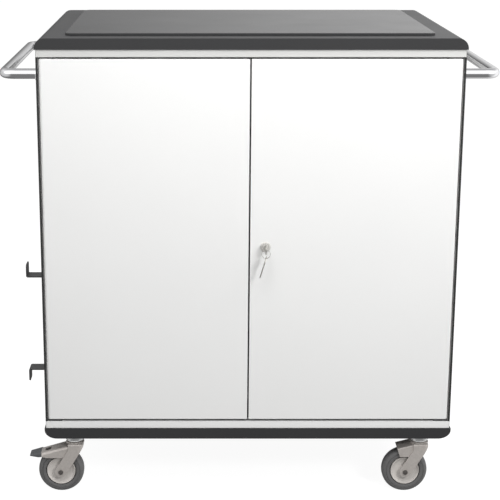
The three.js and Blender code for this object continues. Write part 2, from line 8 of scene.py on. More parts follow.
import json
import logging
import math
from collections.abc import Callable, Sequence
from dataclasses import dataclass, field
from enum import Enum

import bmesh
import bpy
from mathutils import Matrix, Vector


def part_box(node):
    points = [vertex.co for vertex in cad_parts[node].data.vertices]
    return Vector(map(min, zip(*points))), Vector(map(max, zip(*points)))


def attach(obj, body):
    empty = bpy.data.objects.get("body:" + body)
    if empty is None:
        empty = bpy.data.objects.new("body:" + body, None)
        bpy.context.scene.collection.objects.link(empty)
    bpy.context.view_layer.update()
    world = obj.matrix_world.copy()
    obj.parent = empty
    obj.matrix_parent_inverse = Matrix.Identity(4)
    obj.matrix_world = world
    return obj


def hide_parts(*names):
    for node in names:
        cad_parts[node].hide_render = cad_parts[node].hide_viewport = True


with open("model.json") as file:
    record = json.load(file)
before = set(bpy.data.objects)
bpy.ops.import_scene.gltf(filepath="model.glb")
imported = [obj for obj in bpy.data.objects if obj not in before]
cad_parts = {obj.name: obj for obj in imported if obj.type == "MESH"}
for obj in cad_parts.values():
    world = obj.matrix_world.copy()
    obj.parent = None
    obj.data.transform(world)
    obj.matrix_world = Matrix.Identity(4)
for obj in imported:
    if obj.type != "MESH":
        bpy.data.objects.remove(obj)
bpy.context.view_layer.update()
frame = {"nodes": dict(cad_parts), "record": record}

LOG = logging.getLogger("cart")
MM = 0.001
SHARP = math.radians(32)

Point = tuple[float, float]
EdgeTest = Callable[[bmesh.types.BMEdge], bool]


class Axis(Enum):
    """One of the frame's three directions."""

    X = 0
    Y = 1
    Z = 2

    def vector(self) -> Vector:
        """Returns the unit vector along the axis."""
        return Vector([float(i == self.value) for i in range(3)])


class Side(Enum):
    """Left or right as seen facing the doors, with the sign of X there."""

    LEFT = -1
    RIGHT = 1

    @property
    def word(self) -> str:
        """The side's name as the nodes write it."""
        return self.name.lower()


class Level(Enum):
    """Upper or lower, with the sign of Z that points that way."""

    UPPER = 1
    LOWER = -1

    @property
    def word(self) -> str:
        """The level's name as the nodes write it."""
        return self.name.lower()


class Corner(Enum):
    """A castor's corner of the cart."""

    FRONT_LEFT = "front_left"
    FRONT_RIGHT = "front_right"
    REAR_LEFT = "rear_left"
    REAR_RIGHT = "rear_right"

    @property
    def braked(self) -> bool:
        """True on the left, where the castors have brake pedals."""
        return self.value.endswith("left")


@dataclass(frozen=True)
class Span:
    """The box that a node fills, in millimetres."""

    low: Vector
    high: Vector

    @classmethod
    def of(cls, node: str) -> "Span":
        """Measures a node of the frame.

        Args:
            node: the node's name.

        Returns:
            Its box at rest.
        """
        low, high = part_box(node)
        return cls(low / MM, high / MM)

    @property
    def middle(self) -> Vector:
        """The box's centre."""
        return (self.low + self.high) / 2


def joint_place(name: str) -> Vector:
    """Finds where a joint turns.

    Args:
        name: the joint's name.

    Returns:
        Its point in millimetres.
    """
    joints = frame["record"]["behaviour"]["joints"]
    return Vector(next(j["pos_m"] for j in joints if j["name"] == name)) / MM


# ------------------------------------------------------------------ finishes
def srgb(code: str) -> tuple[float, float, float, float]:
    """Turns an sRGB hex colour to linear light.

    Args:
        code: six hex digits.

    Returns:
        Red, green, blue and a full alpha.
    """
    parts = [int(code[i:i + 2], 16) / 255 for i in (0, 2, 4)]
    linear = [c / 12.92 if c <= 0.04045 else ((c + 0.055) / 1.055) ** 2.4 for c in parts]
    return (linear[0], linear[1], linear[2], 1.0)


def add_node(tree: bpy.types.NodeTree, kind: str, settings: dict | None = None,
             **inputs: object) -> bpy.types.Node:
    """Adds a node with its settings and links.

    Args:
        tree: the node tree.
        kind: the node's type name.
        settings: properties of the node itself.
        **inputs: values or sockets for its inputs, with _ for a space in the input's name.

    Returns:
        The node.
    """
    node = tree.nodes.new(kind)
    for key, value in (settings or {}).items():
        setattr(node, key, value)
    for key, value in inputs.items():
        socket = node.inputs[int(key[1:])] if key[1:].isdigit() else node.inputs[key.replace("_", " ")]
        if isinstance(value, bpy.types.NodeSocket):
            tree.links.new(value, socket)
        else:
            socket.default_value = value
    return node


@dataclass(frozen=True)
class Finish:
    """A surface as its maker leaves it.

    The base colour drifts between two near tones in soft blotches, the gloss drifts with a
    second pattern, and a fine relief breaks up reflections.
    """

    name: str
    slot: str
    colour: str
    drift: str
    roughness: float
    metallic: float = 0.0
    blotch: float = 90.0  # mm across
    gloss_drift: float = 0.06
    smudge: float = 40.0  # mm across
    grain: float = 2.5  # mm across
    relief: float = 0.02  # mm high
    stretch: tuple[float, float, float] = (1.0, 1.0, 1.0)
    ior: float = 1.5

    def relief_pattern(self, tree: bpy.types.NodeTree, place: bpy.types.NodeSocket
                       ) -> bpy.types.NodeSocket:
        """Draws the fine relief.

        Args:
            tree: the material's nodes.
            place: coordinates in metres.

        Returns:
            The pattern's height.
        """
        noise = add_node(tree, "ShaderNodeTexNoise", Vector=place, Scale=1 / (self.grain * MM),
                         Detail=3.0, Roughness=0.55)
        return noise.outputs["Fac"]

    def colour_pattern(self, tree: bpy.types.NodeTree, place: bpy.types.NodeSocket
                       ) -> bpy.types.NodeSocket:
        """Draws the drift between the finish's two tones.

        Args:
            tree: the material's nodes.
            place: coordinates in metres.

        Returns:
            A share of the second tone.
        """
        noise = add_node(tree, "ShaderNodeTexNoise", Vector=place, Scale=1 / (self.blotch * MM),
                         Detail=4.0, Roughness=0.6)
        return noise.outputs["Fac"]

    def material(self) -> bpy.types.Material:
        """Returns the finish's material, made on first use."""
        made = bpy.data.materials.get(self.name)
        if made is not None:
            return made
        made = bpy.data.materials.new(self.name)
        made.use_nodes = True
        tree = made.node_tree
        shader = tree.nodes["Principled BSDF"]
        coordinates = add_node(tree, "ShaderNodeTexCoord").outputs["Object"]
        place = add_node(tree, "ShaderNodeMapping", Vector=coordinates,
                         Scale=self.stretch).outputs["Vector"]
        share = self.colour_pattern(tree, place)
        tones = add_node(tree, "ShaderNodeMix", {"data_type": "RGBA"}, _0=share,
                         _6=srgb(self.colour), _7=srgb(self.drift))
        smudges = add_node(tree, "ShaderNodeTexNoise", Vector=coordinates,
                           Scale=1 / (self.smudge * MM), Detail=3.0)
        gloss = add_node(tree, "ShaderNodeMapRange", Value=smudges.outputs["Fac"],
                         From_Min=0.25, From_Max=0.75,
                         To_Min=max(self.roughness - self.gloss_drift, 0.02),
                         To_Max=self.roughness + self.gloss_drift)
        bump = add_node(tree, "ShaderNodeBump", Height=self.relief_pattern(tree, place),
                        Strength=1.0, Distance=self.relief * MM)
        tree.links.new(tones.outputs[2], shader.inputs["Base Color"])
        tree.links.new(gloss.outputs["Result"], shader.inputs["Roughness"])
        tree.links.new(bump.outputs["Normal"], shader.inputs["Normal"])
        shader.inputs["Metallic"].default_value = self.metallic
        if self.metallic < 0.5:
            shader.inputs["IOR"].default_value = self.ior
        return made


@dataclass(frozen=True)
class SparkErodedFinish(Finish):
    """Plastic from a spark-eroded mould, whose skin is a field of small rounded pits."""

    def relief_pattern(self, tree: bpy.types.NodeTree, place: bpy.types.NodeSocket
                       ) -> bpy.types.NodeSocket:
        """Draws the pits as cells with soft edges.

        Args:
            tree: the material's nodes.
            place: coordinates in metres.

        Returns:
            The pattern's height.
        """
        cells = add_node(tree, "ShaderNodeTexVoronoi", {"feature": "SMOOTH_F1"}, Vector=place,
                         Scale=1 / (self.grain * MM), Smoothness=0.6)
        return cells.outputs["Distance"]


@dataclass(frozen=True)
class SpangledFinish(Finish):
    """Zinc plating, whose crystals show as faint flat patches of slightly different tone."""

    def colour_pattern(self, tree: bpy.types.NodeTree, place: bpy.types.NodeSocket
                       ) -> bpy.types.NodeSocket:
        """Draws the crystals.

        Args:
            tree: the material's nodes.
            place: coordinates in metres.

        Returns:
            A share of the second tone.
        """
        cells = add_node(tree, "ShaderNodeTexVoronoi", Vector=place, Scale=1 / (self.blotch * MM))
        return cells.outputs["Distance"]


@dataclass(frozen=True)
class LayeredFinish(Finish):
    """Compact laminate cut across, whose pressed paper layers show as fine even lines."""

    def colour_pattern(self, tree: bpy.types.NodeTree, place: bpy.types.NodeSocket
                       ) -> bpy.types.NodeSocket:
        """Draws the layers across the panel's thickness, along X.

        Args:
            tree: the material's nodes.
            place: coordinates in metres.

        Returns:
            A share of the second tone.
        """
        lines = add_node(tree, "ShaderNodeTexWave", {"bands_direction": "X"}, Vector=place,
                         Scale=1 / (self.blotch * MM) / 20, Distortion=0.6)
        return lines.outputs["Fac"]


# Injection-moulded ABS in graphite from a spark-eroded mould: even, satin, with a soft sheen at a
# low angle. The 0.4 mm pits are drawn at 1.8 mm so that they show.
GRAPHITE_ABS = SparkErodedFinish(
    "graphite_abs", "graphite_moulding", "2D2D2E", "323233", 0.44, grain=1.8, relief=0.012,
    blotch=240, gloss_drift=0.02, smudge=160, ior=1.46)
# The same ABS polished in the mould on the raised field of the top, so it mirrors softly.
SATIN_ABS = SparkErodedFinish(
    "satin_abs", "top_pad", "2B2B2C", "303031", 0.24, grain=1.6, relief=0.004, blotch=260,
    gloss_drift=0.02, smudge=180, ior=1.52)
# The edge of the raised field, cut square and left matt, its colour darkened as painted shade on the
# step.
MATT_PAINTED_SHADE_ABS = SparkErodedFinish(
    "matt_abs", "top_pad", "232324", "2A2A2B", 0.6, grain=1.4, relief=0.02, ior=1.5)
# Melamine-faced board pressed against a pearl plate: bright white with a slight satin pebble.
# The 0.6 mm pebble is drawn at 3 mm.
WHITE_MELAMINE = Finish(
    "white_melamine", "white_laminate", "F5F5F4", "F1F1F0", 0.36, grain=3.0, relief=0.006,
    blotch=260, gloss_drift=0.03, ior=1.5)
# The same board painted a greyer white on the roof, as painted shade under the cover's overhang; its
# front edge shows as a band.
PAINTED_SHADE_MELAMINE = Finish(
    "pale_melamine", "white_laminate", "D2D2D0", "CDCDCB", 0.38, grain=3.0, relief=0.006,
    blotch=260, gloss_drift=0.03, ior=1.5)
# White decor paper on compact laminate, pressed harder and so a little glossier than the board.
WHITE_COMPACT = Finish(
    "white_compact_laminate", "white_laminate", "F0F0EE", "EAEAE8", 0.3, grain=2.6, relief=0.006,
    blotch=300, gloss_drift=0.03, ior=1.5)
# Dark grey on the boards' narrow edges, slightly ribbed as by a cutter: painted shade that darkens the
# gaps round the doors and the ends of the roof and floor bands.
PAINTED_SHADE_EDGING = Finish(
    "graphite_edging", "white_laminate", "2E2E2F", "363637", 0.5, grain=1.2, relief=0.02,
    blotch=60, ior=1.5)
# The core of compact laminate: kraft paper in black resin, machined and oiled. Layers of 0.2 mm are
# drawn at 0.8 mm.
BLACK_CORE = LayeredFinish(
    "black_core_laminate", "black_core_laminate", "080808", "0E0E0E", 0.32, grain=0.9,
    relief=0.004, blotch=0.8, gloss_drift=0.04, ior=1.3)
# Extruded aluminium left natural: fine die lines run along the length.
MILL_ALUMINIUM = Finish(
    "mill_aluminium", "aluminium", "B9BABC", "A9AAAD", 0.36, metallic=1.0, grain=0.6,
    relief=0.02, stretch=(1.0, 0.02, 1.0))
# Stainless tube polished on a belt and buffed: near mirror, with a trace of the belt's lines.
POLISHED_STAINLESS = Finish(
    "polished_stainless", "polished_stainless", "DCDCDB", "D2D2D1", 0.1, metallic=1.0,
    grain=0.8, relief=0.003, gloss_drift=0.03, stretch=(0.15, 0.05, 1.0))
# Flat steel under dark grey polyester powder, whose baked film keeps a slight orange peel.
POWDER_COAT = Finish(
    "dark_powder_coat", "dark_coated_steel", "3F3F40", "484849", 0.5, grain=1.8, relief=0.03,
    blotch=30, ior=1.5)
# Brass under bright nickel, as on a lock head: warm grey, clean and reflective.
BRIGHT_NICKEL = Finish(
    "bright_nickel", "nickel_plate", "C4C2BD", "B5B3AE", 0.2, metallic=1.0, grain=0.9,
    relief=0.004, blotch=12, smudge=9)
# The same nickel on the lock's face, buffed less, so that it takes the light softly.
SOFT_NICKEL = Finish(
    "soft_nickel", "nickel_plate", "DEDCD8", "D2D0CC", 0.34, metallic=0.2, grain=0.9,
    relief=0.004, blotch=12, smudge=9)
# Steel with bright zinc plating: bluish, with faint crystals.
BRIGHT_ZINC = SpangledFinish(
    "bright_zinc", "zinc_plated_steel", "DCDCDB", "C6C7C8", 0.34, metallic=0.7, grain=1.0,
    relief=0.006, blotch=4, smudge=14)
# Castor steel, pressed, tumbled and zinc plated under a dull chromate film, so that it is warm,
# satin and hardly mirrors.
SATIN_ZINC = SpangledFinish(
    "satin_zinc", "castor_steel", "C4BEB9", "B8B2AD", 0.46, metallic=0.3, grain=1.2,
    relief=0.01, blotch=5, smudge=18)
# Blackened steel of the axle bolts: dark, with a soft shine.
BLACKENED_STEEL = Finish(
    "blackened_steel", "zinc_plated_steel", "5E5A57", "4C4845", 0.5, metallic=0.3, grain=0.8,
    relief=0.01, blotch=6)
# Grey solid rubber that leaves no marks: matt, with mould bloom and a little dust.
GREY_RUBBER = Finish(
    "grey_rubber", "tyre_rubber", "5E5E5E", "696868", 0.62, grain=1.4, relief=0.03, blotch=18,
    gloss_drift=0.08, ior=1.52)
# Moulded polypropylene of the wheel centres: light warm grey, waxy.
GREY_POLYPROPYLENE = SparkErodedFinish(
    "grey_polypropylene", "rim_plastic", "D6D1CC", "CBC6C1", 0.42, grain=1.2, relief=0.01,
    blotch=24, ior=1.49)
# Nylon of the pedal's tip, dark grey with glass fibre.
PEDAL_NYLON = SparkErodedFinish(
    "pedal_nylon", "castor_steel", "515355", "5B5D5F", 0.5, grain=1.0, relief=0.03,
    blotch=14, ior=1.53)


# --------------------------------------------------------------------- bench
class Workpiece:
    """A mesh on the bench, in millimetres, made and shaped by mesh operators."""

    def __init__(self) -> None:
        """Clears the bench."""
        self.mesh = bmesh.new()

    @classmethod
    def block(cls, low: Sequence[float], high: Sequence[float]) -> "Workpiece":
        """Saws a block.

        Args:
            low: its lowest corner.
            high: its highest corner.

        Returns:
            The block.
        """
        piece = cls()
        low, high = Vector(low), Vector(high)
        bmesh.ops.create_cube(piece.mesh, size=1.0)
        bmesh.ops.scale(piece.mesh, vec=high - low, verts=piece.mesh.verts)
        bmesh.ops.translate(piece.mesh, vec=(low + high) / 2, verts=piece.mesh.verts)
        return piece

    @classmethod
    def turned(cls, profile: Sequence[Point], centre: Sequence[float], axis: Axis, steps: int = 48,
               ring: bool = False) -> "Workpiece":
        """Turns a profile about an axis, as on a lathe.

        Args:
            profile: pairs of radius and distance along the axis from the centre.
            centre: a point on the axis.
            axis: the direction of the axis.
            steps: how many sides a full turn has.
            ring: whether the profile closes on itself, and not on the axis.

        Returns:
            The turned piece.
        """
        piece = cls()
        centre = Vector(centre)
        along = axis.vector()
        out = Axis((axis.value + 1) % 3).vector()
        verts = [piece.mesh.verts.new(centre + out * r + along * a) for r, a in profile]
        pairs = list(zip(verts, verts[1:])) + ([(verts[-1], verts[0])] if ring else [])
        edges = [piece.mesh.edges.new(pair) for pair in pairs]
        bmesh.ops.spin(piece.mesh, geom=verts + edges, cent=centre, axis=along, dvec=(0, 0, 0),
                       angle=math.tau, steps=steps, use_merge=True, use_duplicate=False)
        bmesh.ops.remove_doubles(piece.mesh, verts=piece.mesh.verts, dist=0.001)
        bmesh.ops.recalc_face_normals(piece.mesh, faces=piece.mesh.faces)
        return piece

    @classmethod
    def pressed(cls, outline: Sequence[Point], start: float, end: float, axis: Axis = Axis.Y
                ) -> "Workpiece":
        """Cuts an outline from plate.

        Args:
            outline: the corners, in the two directions other than the axis, in X, Y, Z order.
            start: where the plate begins along the axis.
            end: where it ends.
            axis: the direction through the plate.

        Returns:
            The plate.
        """
        piece = cls()
        others = [i for i in range(3) if i != axis.value]
        verts = []
        for a, b in outline:
            place = Vector((0, 0, 0))
            place[others[0]], place[others[1]], place[axis.value] = a, b, start
            verts.append(piece.mesh.verts.new(place))
        face = piece.mesh.faces.new(verts)
        grown = bmesh.ops.extrude_face_region(piece.mesh, geom=[face])["geom"]
        moved = [g for g in grown if isinstance(g, bmesh.types.BMVert)]
        bmesh.ops.translate(piece.mesh, vec=axis.vector() * (end - start), verts=moved)
        bmesh.ops.recalc_face_normals(piece.mesh, faces=piece.mesh.faces)
        return piece

    @classmethod
    def copied(cls, node: str) -> "Workpiece":
        """Copies a node of the frame and merges it to clean flat faces.

        Args:
            node: the node's name.

        Returns:
            The copy.
        """
        piece = cls()
        piece.mesh.from_mesh(frame["nodes"][node].data)
        bmesh.ops.scale(piece.mesh, vec=Vector((1, 1, 1)) / MM, verts=piece.mesh.verts)
        bmesh.ops.remove_doubles(piece.mesh, verts=piece.mesh.verts, dist=0.01)
        bmesh.ops.dissolve_limit(piece.mesh, angle_limit=math.radians(1), use_dissolve_boundaries=False,
                                 verts=piece.mesh.verts, edges=piece.mesh.edges, delimit=set())
        bmesh.ops.recalc_face_normals(piece.mesh, faces=piece.mesh.faces)
        return piece

    def round_edges(self, width: float, segments: int, test: EdgeTest) -> "Workpiece":
        """Rounds the edges that pass a test.

        Args:
            width: the rounding's radius.
            segments: how many steps it has.
            test: says which edges.

        Returns:
            The workpiece.
        """
        edges = [edge for edge in self.mesh.edges if test(edge)]
        bmesh.ops.bevel(self.mesh, geom=edges, offset=width, offset_type="OFFSET",
                        segments=segments, profile=0.5, affect="EDGES", clamp_overlap=True,
                        material=-1)
        return self

    def ease(self, width: float = 0.5, segments: int = 2, angle: float = 50.0) -> "Workpiece":
        """Takes the sharpness off every edge that turns more than an angle, in degrees."""
        limit = math.radians(angle)
        return self.round_edges(width, segments, lambda e: e.calc_face_angle(0.0) > limit)

    def add(self, other: "Workpiece") -> "Workpiece":
        """Lays another workpiece beside this one, as one piece."""
        spare = bpy.data.meshes.new("spare")
        other.mesh.to_mesh(spare)
        self.mesh.from_mesh(spare)
        bpy.data.meshes.remove(spare)
        return self

    def combine(self, other: "Workpiece", operation: str = "DIFFERENCE") -> "Workpiece":
        """Cuts another workpiece out of this one, or joins it on.

        Args:
            other: the tool or the addition.
            operation: DIFFERENCE, UNION or INTERSECT.

        Returns:
            The workpiece.
        """
        holders = []
        for piece in (self, other):
            data = bpy.data.meshes.new("spare")
            piece.mesh.to_mesh(data)
            holders.append(bpy.data.objects.new("spare", data))
            bpy.context.scene.collection.objects.link(holders[-1])
        modifier = holders[0].modifiers.new("tool", "BOOLEAN")
        modifier.operation, modifier.object, modifier.solver = operation, holders[1], "EXACT"
        graph = bpy.context.evaluated_depsgraph_get()
        result = bpy.data.meshes.new_from_object(holders[0].evaluated_get(graph))
        self.mesh.clear()
        self.mesh.from_mesh(result)
        bmesh.ops.remove_doubles(self.mesh, verts=self.mesh.verts, dist=0.002)
        for holder in holders:
            data = holder.data
            bpy.data.objects.remove(holder)
            bpy.data.meshes.remove(data)
        bpy.data.meshes.remove(result)
        self._settle()
        return self

    def _settle(self) -> None:
        """Puts the mesh in an order set by its shape, since a boolean's own order varies by run."""
        verts = sorted(self.mesh.verts, key=lambda v: tuple(round(c, 3) for c in v.co))
        index = {vert: number for number, vert in enumerate(verts)}
        places = [vert.co.copy() for vert in verts]
        rings = []
        for face in self.mesh.faces:
            ring = [index[vert] for vert in face.verts]
            first = ring.index(min(ring))
            rings.append((ring[first:] + ring[:first], face.material_index))
        self.mesh.clear()
        fresh = [self.mesh.verts.new(place) for place in places]
        for ring, material in sorted(rings):
            self.mesh.faces.new([fresh[number] for number in ring]).material_index = material
        self.mesh.normal_update()

    def move(self, matrix: Matrix) -> "Workpiece":
        """Moves or turns the workpiece."""
        bmesh.ops.transform(self.mesh, matrix=matrix, verts=self.mesh.verts)
        return self

    def paint(self, index: int, test: Callable[[bmesh.types.BMFace], bool]) -> "Workpiece":
        """Gives the faces that pass a test another of the piece's finishes."""
        for face in self.mesh.faces:
            if test(face):
                face.material_index = index
        return self

    def place(self, name: str, body: str, finishes: Sequence[Finish], replaces: Sequence[str] = (),
              origin: Sequence[float] = (0, 0, 0)) -> bpy.types.Object:
        """Takes the piece off the bench and puts it on the cart.

        Args:
            name: the piece's name.
            body: the body that it rides on.
            finishes: its finishes, the main one first.
            replaces: the nodes that it stands for.
            origin: where the bench's zero lies on the cart.

        Returns:
            The finished piece.
        """
        bmesh.ops.translate(self.mesh, vec=Vector(origin), verts=self.mesh.verts)
        bmesh.ops.scale(self.mesh, vec=Vector((MM, MM, MM)), verts=self.mesh.verts)
        data = bpy.data.meshes.new(name)
        self.mesh.to_mesh(data)
        self.mesh.free()
        piece = bpy.data.objects.new(name, data)
        bpy.context.scene.collection.objects.link(piece)
        for finish in finishes:
            data.materials.append(finish.material())
        data.shade_smooth()
        data.set_sharp_from_angle(angle=SHARP)
        piece.modifiers.new("even_shading", "WEIGHTED_NORMAL").keep_sharp = True
        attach(piece, body)
        if replaces:
            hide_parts(*replaces)
        LOG.info("%s rides on %s", name, body)
        return piece


def lies_along(axis: Axis, edge: bmesh.types.BMEdge) -> bool:
    """Says whether an edge runs along an axis.

    Args:
        axis: the axis.
        edge: the edge.

    Returns:
        True if it is parallel.
    """
    run = edge.verts[1].co - edge.verts[0].co
    return abs(run[axis.value]) > 0.999 * run.length


def edge_near(edge: bmesh.types.BMEdge, slack: float = 0.2, **places: float) -> bool:
    """Says whether both ends of an edge have the given x, y or z.

    Args:
        edge: the edge.
        slack: how far off they may be.
        **places: the coordinates that are tested.

    Returns:
        True if they all match.
    """
    return all(abs(v.co["xyz".index(k)] - at) < slack for v in edge.verts for k, at in places.items())


class Direction(Enum):
    """The turn that brings +Z to another direction."""

    UP = Matrix.Identity(4)
    DOWN = Matrix.Rotation(math.pi, 4, "X")
    FRONT = Matrix.Rotation(math.pi / 2, 4, "X")
    BACK = Matrix.Rotation(-math.pi / 2, 4, "X")
    LEFT = Matrix.Rotation(-math.pi / 2, 4, "Y")
    RIGHT = Matrix.Rotation(math.pi / 2, 4, "Y")


@dataclass(frozen=True)
class PanScrew:
    """A pan-head screw with a six-sided socket, seen from its head's side only."""

    radius: float = 3.6
    height: float = 2.2
    socket: float = 1.7

    def at(self, place: Sequence[float], facing: Direction) -> Workpiece:
        """Makes the head on a surface.

        Args:
            place: the middle of its seat.
            facing: where its top points.

        Returns:
            The head.
        """
        r, h = self.radius, self.height
        profile = [(0, 0), (r, 0), (r, h * 0.35), (r * 0.88, h * 0.75), (r * 0.6, h), (0, h)]
        head = Workpiece.turned(profile, (0, 0, 0), Axis.Z, 20)
        floor = h * 0.35
        socket = [(0, floor), (self.socket, floor), (self.socket, h + 1), (0, h + 1)]
        tool = Workpiece.turned(socket, (0, 0, 0), Axis.Z, 6)
        head.combine(tool)
        return head.move(Matrix.Translation(place) @ facing.value)


@dataclass(frozen=True)
class HexHead:
    """A six-sided bolt head or nut with a chamfered top."""

    radius: float = 7.0
    height: float = 5.0

    def at(self, place: Sequence[float], facing: Direction) -> Workpiece:
        """Makes the head on a surface, with its washer.

        Args:
            place: the middle of its seat.
            facing: where its top points.

        Returns:
            The head and washer.
        """
        r, h = self.radius, self.height
        head = Workpiece.turned([(0, 1.2), (r, 1.2), (r, h), (0, h)], (0, 0, 0), Axis.Z, 6)
        crown = Workpiece.turned([(0, 0), (r, 0), (r, h * 0.8), (r * 0.8, h + 0.2), (0, h + 0.2)],
                                 (0, 0, 0), Axis.Z, 24)
        head.combine(crown, "INTERSECT")
        head.add(Workpiece.turned([(0, 0), (r * 1.25, 0), (r * 1.25, 1.0), (r * 1.15, 1.2), (0, 1.2)],
                                  (0, 0, 0), Axis.Z, 28))
        return head.move(Matrix.Translation(place) @ facing.value)


# ------------------------------------------------------------------- cabinet
@dataclass
class Mouldings:
    """The graphite mouldings that close the cabinet above and below, both hollow."""

    cover_end: Point = (21.0, 21.0)
    base_end: Point = (27.0, 19.5)
    wall: float = 5.0
    base_floor: float = 9.0
    bolt_hole: float = 6.4
    rim: float = 1.6
    pad_corner: float = 18.0
    pad_rim: float = 1.6
    body: str = "cabinet"

    def build(self) -> None:
        """Makes the cover, its raised field and the base."""
        self._cover()
        self._base()
        self._pad()

    def _cover(self) -> None:
        """Makes the cover, open below."""
        span = Span.of("top_cover")
        cover = self._solid(span, span.high.z, self.cover_end)
        low = span.low + Vector((self.wall, self.wall, -1))
        high = span.high - Vector((self.wall, self.wall, self.wall))
        hollow = Workpiece.block(low, high)
        hollow.round_edges(self.cover_end[1] - self.wall, 12,
                           lambda e: lies_along(Axis.Y, e) and edge_near(e, z=high.z))
        cover.combine(hollow)
        self._soften(cover, span, span.low.z)
        cover.place("top_cover_moulding", self.body, [GRAPHITE_ABS], ["top_cover"])

    def _base(self) -> None:
        """Makes the base as a tray, with a hole for each castor's bolt."""
        span = Span.of("base_plinth")
        tray = self._solid(span, span.low.z, self.base_end)
        low = span.low + Vector((2 * self.wall, self.wall, self.base_floor))
        high = span.high - Vector((2 * self.wall, self.wall, -1))
        tray.combine(Workpiece.block(low, high))
        r = self.bolt_hole
        for corner in Corner:
            axis = joint_place(f"{corner.value}_swivel")
            tray.combine(Workpiece.turned([(0, -5), (r, -5), (r, 20), (0, 20)],
                                          (axis.x, axis.y, span.low.z), Axis.Z, 32))
        self._soften(tray, span, span.high.z)
        tray.place("base_moulding", self.body, [GRAPHITE_ABS], ["base_plinth"])

    @staticmethod
    def _solid(span: Span, height: float, end: Point) -> Workpiece:
        """Makes a moulding's outside with its rounded ends, still solid.

        Args:
            span: the moulding's box.
            height: Z of the side that its ends turn to.
            end: how wide and how high the rounding of its ends is.

        Returns:
            The moulding before it is hollowed.
        """
        piece = Workpiece.block(span.low, span.high)
        width, tall = end
        piece.round_edges(tall, 14, lambda e: lies_along(Axis.Y, e) and edge_near(e, z=height))
        for vert in piece.mesh.verts:
            inset = span.high.x - abs(vert.co.x)
            vert.co.x = math.copysign(span.high.x - inset * width / tall, vert.co.x)
        return piece

    def _soften(self, piece: Workpiece, span: Span, seat: float) -> None:
        """Rounds the long outer edges at the front and back.

        Args:
            piece: the moulding.
            span: its box.
            seat: Z of the side that meets a board, which stays sharp.
        """
        piece.round_edges(self.rim, 4, lambda e: not lies_along(Axis.Y, e) and not edge_near(e, z=seat)
                          and (edge_near(e, y=span.low.y) or edge_near(e, y=span.high.y))
                          and e.calc_face_angle(0.0) > SHARP and not lies_along(Axis.Z, e))

    def _pad(self) -> None:
        """Makes the raised field of the top, with round corners and a soft rim."""
        span = Span.of("top_pad")
        piece = Workpiece.block(span.low, span.high)
        piece.round_edges(self.pad_corner, 10, lambda e: lies_along(Axis.Z, e))
        piece.round_edges(self.pad_rim, 4, lambda e: edge_near(e, z=span.high.z)
                          and e.calc_face_angle(0.0) > SHARP)
        # The field's upright sides take the darker finish: painted shade on the step below the field's
        # top.
        piece.paint(1, lambda f: abs(f.normal.z) < 0.1)
        piece.place("raised_top_field", self.body, [SATIN_ABS, MATT_PAINTED_SHADE_ABS], ["top_pad"])


@dataclass
class Carcass:
    """The boards and panels of the cabinet, with the shelves and their rails."""

    body: str = "cabinet"
    board_edge: float = 0.8
    front_corner: float = 2.6
    panel_edge: float = 0.35
    rail_wall: float = 2.0
    rail_screws: tuple[float, ...] = (0.08, 0.36, 0.64, 0.92)  # shares of the rail's length
    screw: PanScrew = field(default_factory=PanScrew)

    def build(self) -> None:
        """Makes the boards, panels, shelves and rails."""
        # The roof board's greyer white is painted shade from the cover's overhang; the floor board keeps
        # the plain white.
        for node, faces in (("roof_board", PAINTED_SHADE_MELAMINE), ("floor_board", WHITE_MELAMINE)):
            span = Span.of(node)
            board = Workpiece.copied(node)
            # The boards' end faces take the dark edging: painted shade that draws a thin grey line at
            # each band's end.
            board.paint(1, lambda f: abs(f.normal.x) > 0.9)
            board.round_edges(self.front_corner, 5, lambda e, span=span: lies_along(Axis.Z, e)
                              and (edge_near(e, y=span.low.y) or edge_near(e, y=span.high.y)))
            board.ease(self.board_edge, 3, 60)
            board.place(node + "_faced", self.body, [faces, PAINTED_SHADE_EDGING], [node])
        for node in ("shelf_upper", "shelf_lower"):
            Workpiece.copied(node).ease(self.board_edge, 3).place(
                node + "_faced", self.body, [WHITE_MELAMINE], [node])
        back = Span.of("back_panel")
        Workpiece.block(back.low, back.high).ease(self.panel_edge, 2).place(
            "back_panel_faced", self.body, [WHITE_MELAMINE], ["back_panel"])
        for side in Side:
            self._side(side)
            for level in Level:
                self._rail(side, level)

    def _side(self, side: Side) -> None:
        """Makes a side panel: white faces on a black core that shows at the cut edges.

        Args:
            side: left or right.
        """
        node = f"side_panel_{side.word}"
        span = Span.of(node)
        piece = Workpiece.block(span.low, span.high).ease(self.panel_edge, 3)
        piece.paint(1, lambda f: abs(f.normal.x) > 0.99)
        piece.place(node + "_compact", self.body, [BLACK_CORE, WHITE_COMPACT], [node])

    def _rail(self, side: Side, level: Level) -> None:
        """Makes a shelf rail and the screws that hold it to the side panel.

        Args:
            side: left or right.
            level: upper or lower.
        """
        node = f"shelf_rail_{level.word}_{side.word}"
        span = Span.of(node)
        wall = self.rail_wall
        rail = Workpiece.copied(node).ease(0.3, 2)
        inner = span.low.x + wall if side is Side.LEFT else span.high.x - wall
        facing = Direction.RIGHT if side is Side.LEFT else Direction.LEFT
        rail.place(node + "_angle", self.body, [MILL_ALUMINIUM], [node])
        heads = Workpiece()
        for share in self.rail_screws:
            y = span.low.y + share * (span.high.y - span.low.y)
            heads.add(self.screw.at((inner, y, span.low.z + 8), facing))
        heads.place(node + "_screws", self.body, [BRIGHT_ZINC])


